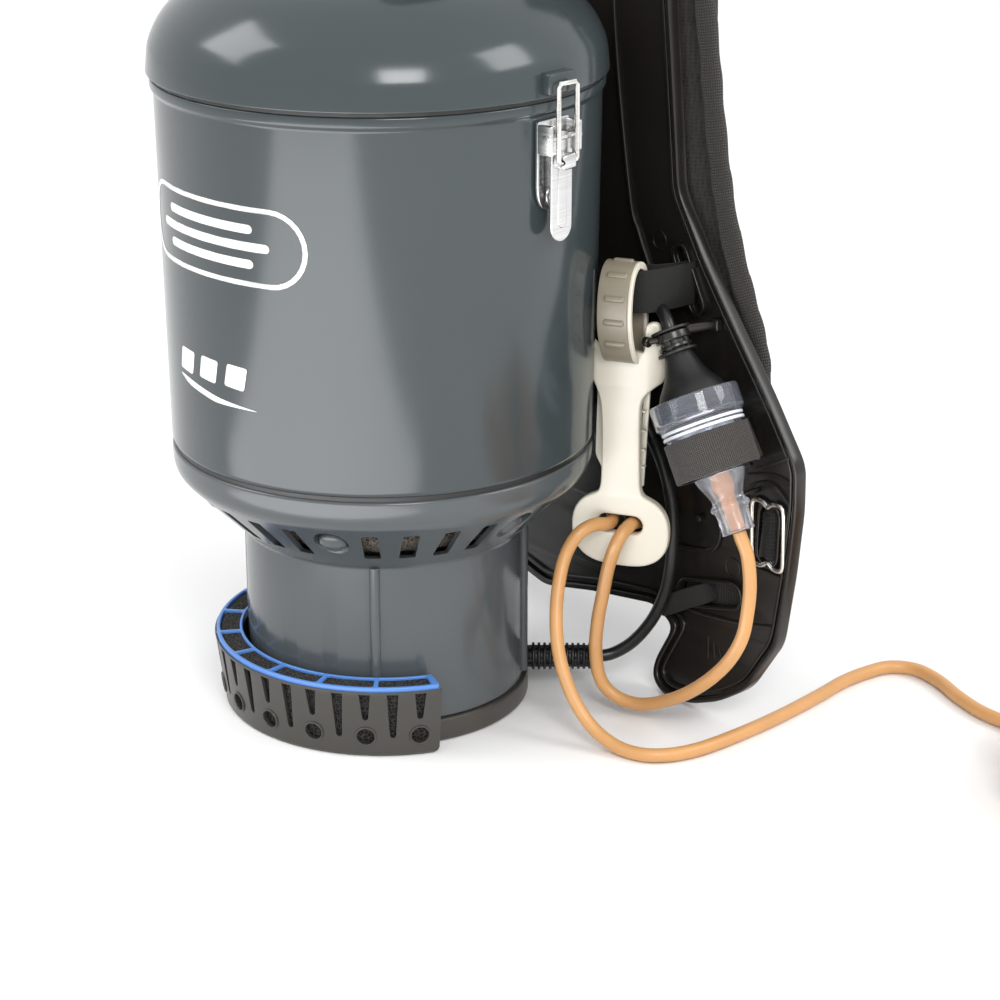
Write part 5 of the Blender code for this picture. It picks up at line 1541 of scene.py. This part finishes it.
def make_pad():
    pad = panel([pad_outline(0.0055)], 0.1225, 0.1385)
    inflated(pad, 0.0050, 4.0, 0.0060, quilted)
    dress(pad, "spine_pad", MESH, "back_pad", sharp=0)
    edge = smooth([(x, 0.1262, z) for x, z in pad_outline(0.0030)], 1, closed=True)
    points = []
    for a, b in zip(edge, edge[1:] + edge[:1]):
        steps = max(1, round((b - a).length / 0.004))
        points += [a.lerp(b, k / steps) for k in range(steps)]
    radii = [0.0050 + 0.0003 * math.sin(0.9 * k) for k in range(len(points))]
    cord = pipe(points, radii, 14, True, (0, 1, 0))
    dress(cord, "pad_piping", PIPING, sharp=0)


def strap_path(sign):
    return spaced([(sign * STRAP_X, y, z) for y, z in STRAP_PATH], 0.006)


def make_shoulder_straps():
    for side, sign in SIDES:
        path = strap_path(sign)
        core = ribbon(path, (1, 0, 0), 0.0480, 0.0085, 0.35)
        inflated(core, 0.0045, 4.0, 0.0030)
        dress(core, "shoulder_pad_" + side, MESH, "shoulder_strap_" + side, sharp=0)
        binding = []
        for shift in (-0.0250, 0.0250):
            edge = [p + Vector((shift, 0, 0)) for p in path]
            binding.append(pipe(edge, [0.0026 + 0.0002 * math.sin(k) for k in range(len(edge))],
                                12, up=(1, 0, 0)))
        dress(joined(binding), "strap_binding_" + side, PIPING, sharp=0)
        outer = []
        normals = frames(path, Vector((1, 0, 0)))
        for point, (along, across) in zip(path[2:-2], normals[2:-2]):
            outer.append(point + along.cross(across) * 0.0066)
        inner_web = ribbon(outer, (1, 0, 0), 0.0240, 0.0012)
        dress(inner_web, "strap_webbing_" + side, WEBBING)


def flat_widths(route):
    """The direction across a strap that lies against the pad, at each point."""
    result = []
    for i in range(len(route)):
        ahead = heading(route, i)
        across = Vector((-ahead.z, 0.0, ahead.x))
        if across.length < abs(ahead.y):
            across = result[-1]
        result.append(across.normalized())
    return result


def make_webbing():
    for side, sign in SIDES:
        route = smooth([(sign * x, y, z) for x, y, z in LOWER_WEBBING], 5)
        strap = ribbon(route, flat_widths(route), 0.0220, 0.0014)
        dress(strap, "side_webbing_" + side, WEBBING, "lower_webbing_" + side)
        frame_bar = refined("strap_adjuster_" + side, 0.0009)
        x = sign * STRAP_X
        teeth = [box((0.0240, 0.0012, 0.0008), (x, 0.1578, 0.1690 + dz), 0.0003)
                 for dz in (-0.0105, -0.0015, 0.0015, 0.0105)]
        dress(joined([frame_bar, *teeth]), "adjuster_" + side, BLACK_SATIN,
              "strap_adjuster_" + side)


def make_belt():
    for side, sign in SIDES:
        path = smooth([(sign * x, y, 0.0760) for x, y in
                       ((0.1190, 0.1515), (0.1180, 0.1580), (0.1095, 0.1655), (0.0900, 0.1720),
                        (0.0610, 0.1745))], 6)
        wing = ribbon(path, (0, 0, 1), 0.0350, 0.0065, 0.35)
        inflated(wing, 0.0040, 4.0, 0.0025)
        dress(wing, "belt_pad_" + side, MESH, "belt_wing_" + side, sharp=0)
        binding = [pipe([p + Vector((0, 0, dz)) for p in path], 0.0022, 12, up=(0, 0, 1))
                   for dz in (-0.0180, 0.0180)]
        dress(joined(binding), "belt_binding_" + side, PIPING, sharp=0)
    for node, body in (("buckle_socket", "vacuum"), ("buckle_tongue", "buckle")):
        hard = refined(node, 0.0012)
        dress(hard, node + "_shell", BLACK_SATIN, node, body=body)


def make_handle():
    half = [(-0.0500, 0.4348), (-0.0505, 0.4480), (-0.0430, 0.4615), (-0.0260, 0.4692),
            (0.0, 0.4710)]
    arch = smooth([(x, 0.1150, z) for x, z in half + mirrored(half[:-1])], 10)
    bar = pipe(arch, 0.0030, 24, up=(0, 1, 0))
    middle = [p for p in arch if abs(p.x) < 0.030]
    sleeve = pipe(middle, [0.0036 + 0.0003 * math.sin(1.6 * k) for k in range(len(middle))], 24,
                  up=(0, 1, 0))
    dress(joined([bar, sleeve]), "top_handle", RUBBER, "carry_handle", slot="black_plastic")


def make_switch():
    for node, mat, body, name in (("switch_bezel", BLACK_SATIN, "vacuum", "switch_surround"),
                                  ("switch_rocker", RED, "switch", "switch_key")):
        dress(refined(node, 0.0008), name, mat, node, body=body)


# ---- CAD nodes that keep their shape -----------------------------------------------
def dress_inner_nodes():
    finishes = {
        "lid_gasket": RUBBER, "inlet_retainer": BLACK_SATIN, "pre_motor_filter": FOAM,
        "filter_bag": CLOTH, "filter_bag_ring": BLACK_SATIN, "sound_foam": SOUND_FOAM,
        "fan_case": ALUMINIUM, "motor_seal": RUBBER, "motor_frame": ALUMINIUM,
        "motor_foot": RUBBER, "bearing_lower": STEEL, "bearing_upper": STEEL,
        "armature": COPPER, "impeller": ALUMINIUM,
    }
    for name, mat in finishes.items():
        for material_slot in NODES[name].material_slots:
            material_slot.material = mat


make_camera()
make_stage()
lead_fittings = make_socket()
lead_fittings.append(make_socket_strap())
make_lead()
make_flex(make_strain_relief(), make_plug())
make_clip()
make_tank()
make_prints()
make_housing()
make_base()
make_lid()
make_inlet()
make_latches()
make_exhaust_cover()
make_exhaust_filter()
make_hook()
make_hook_webbing()
make_back_plate()
make_strap_rings()
make_belt_strap()
make_pad()
make_shoulder_straps()
make_webbing()
make_belt()
make_handle()
make_switch()
dress_inner_nodes()
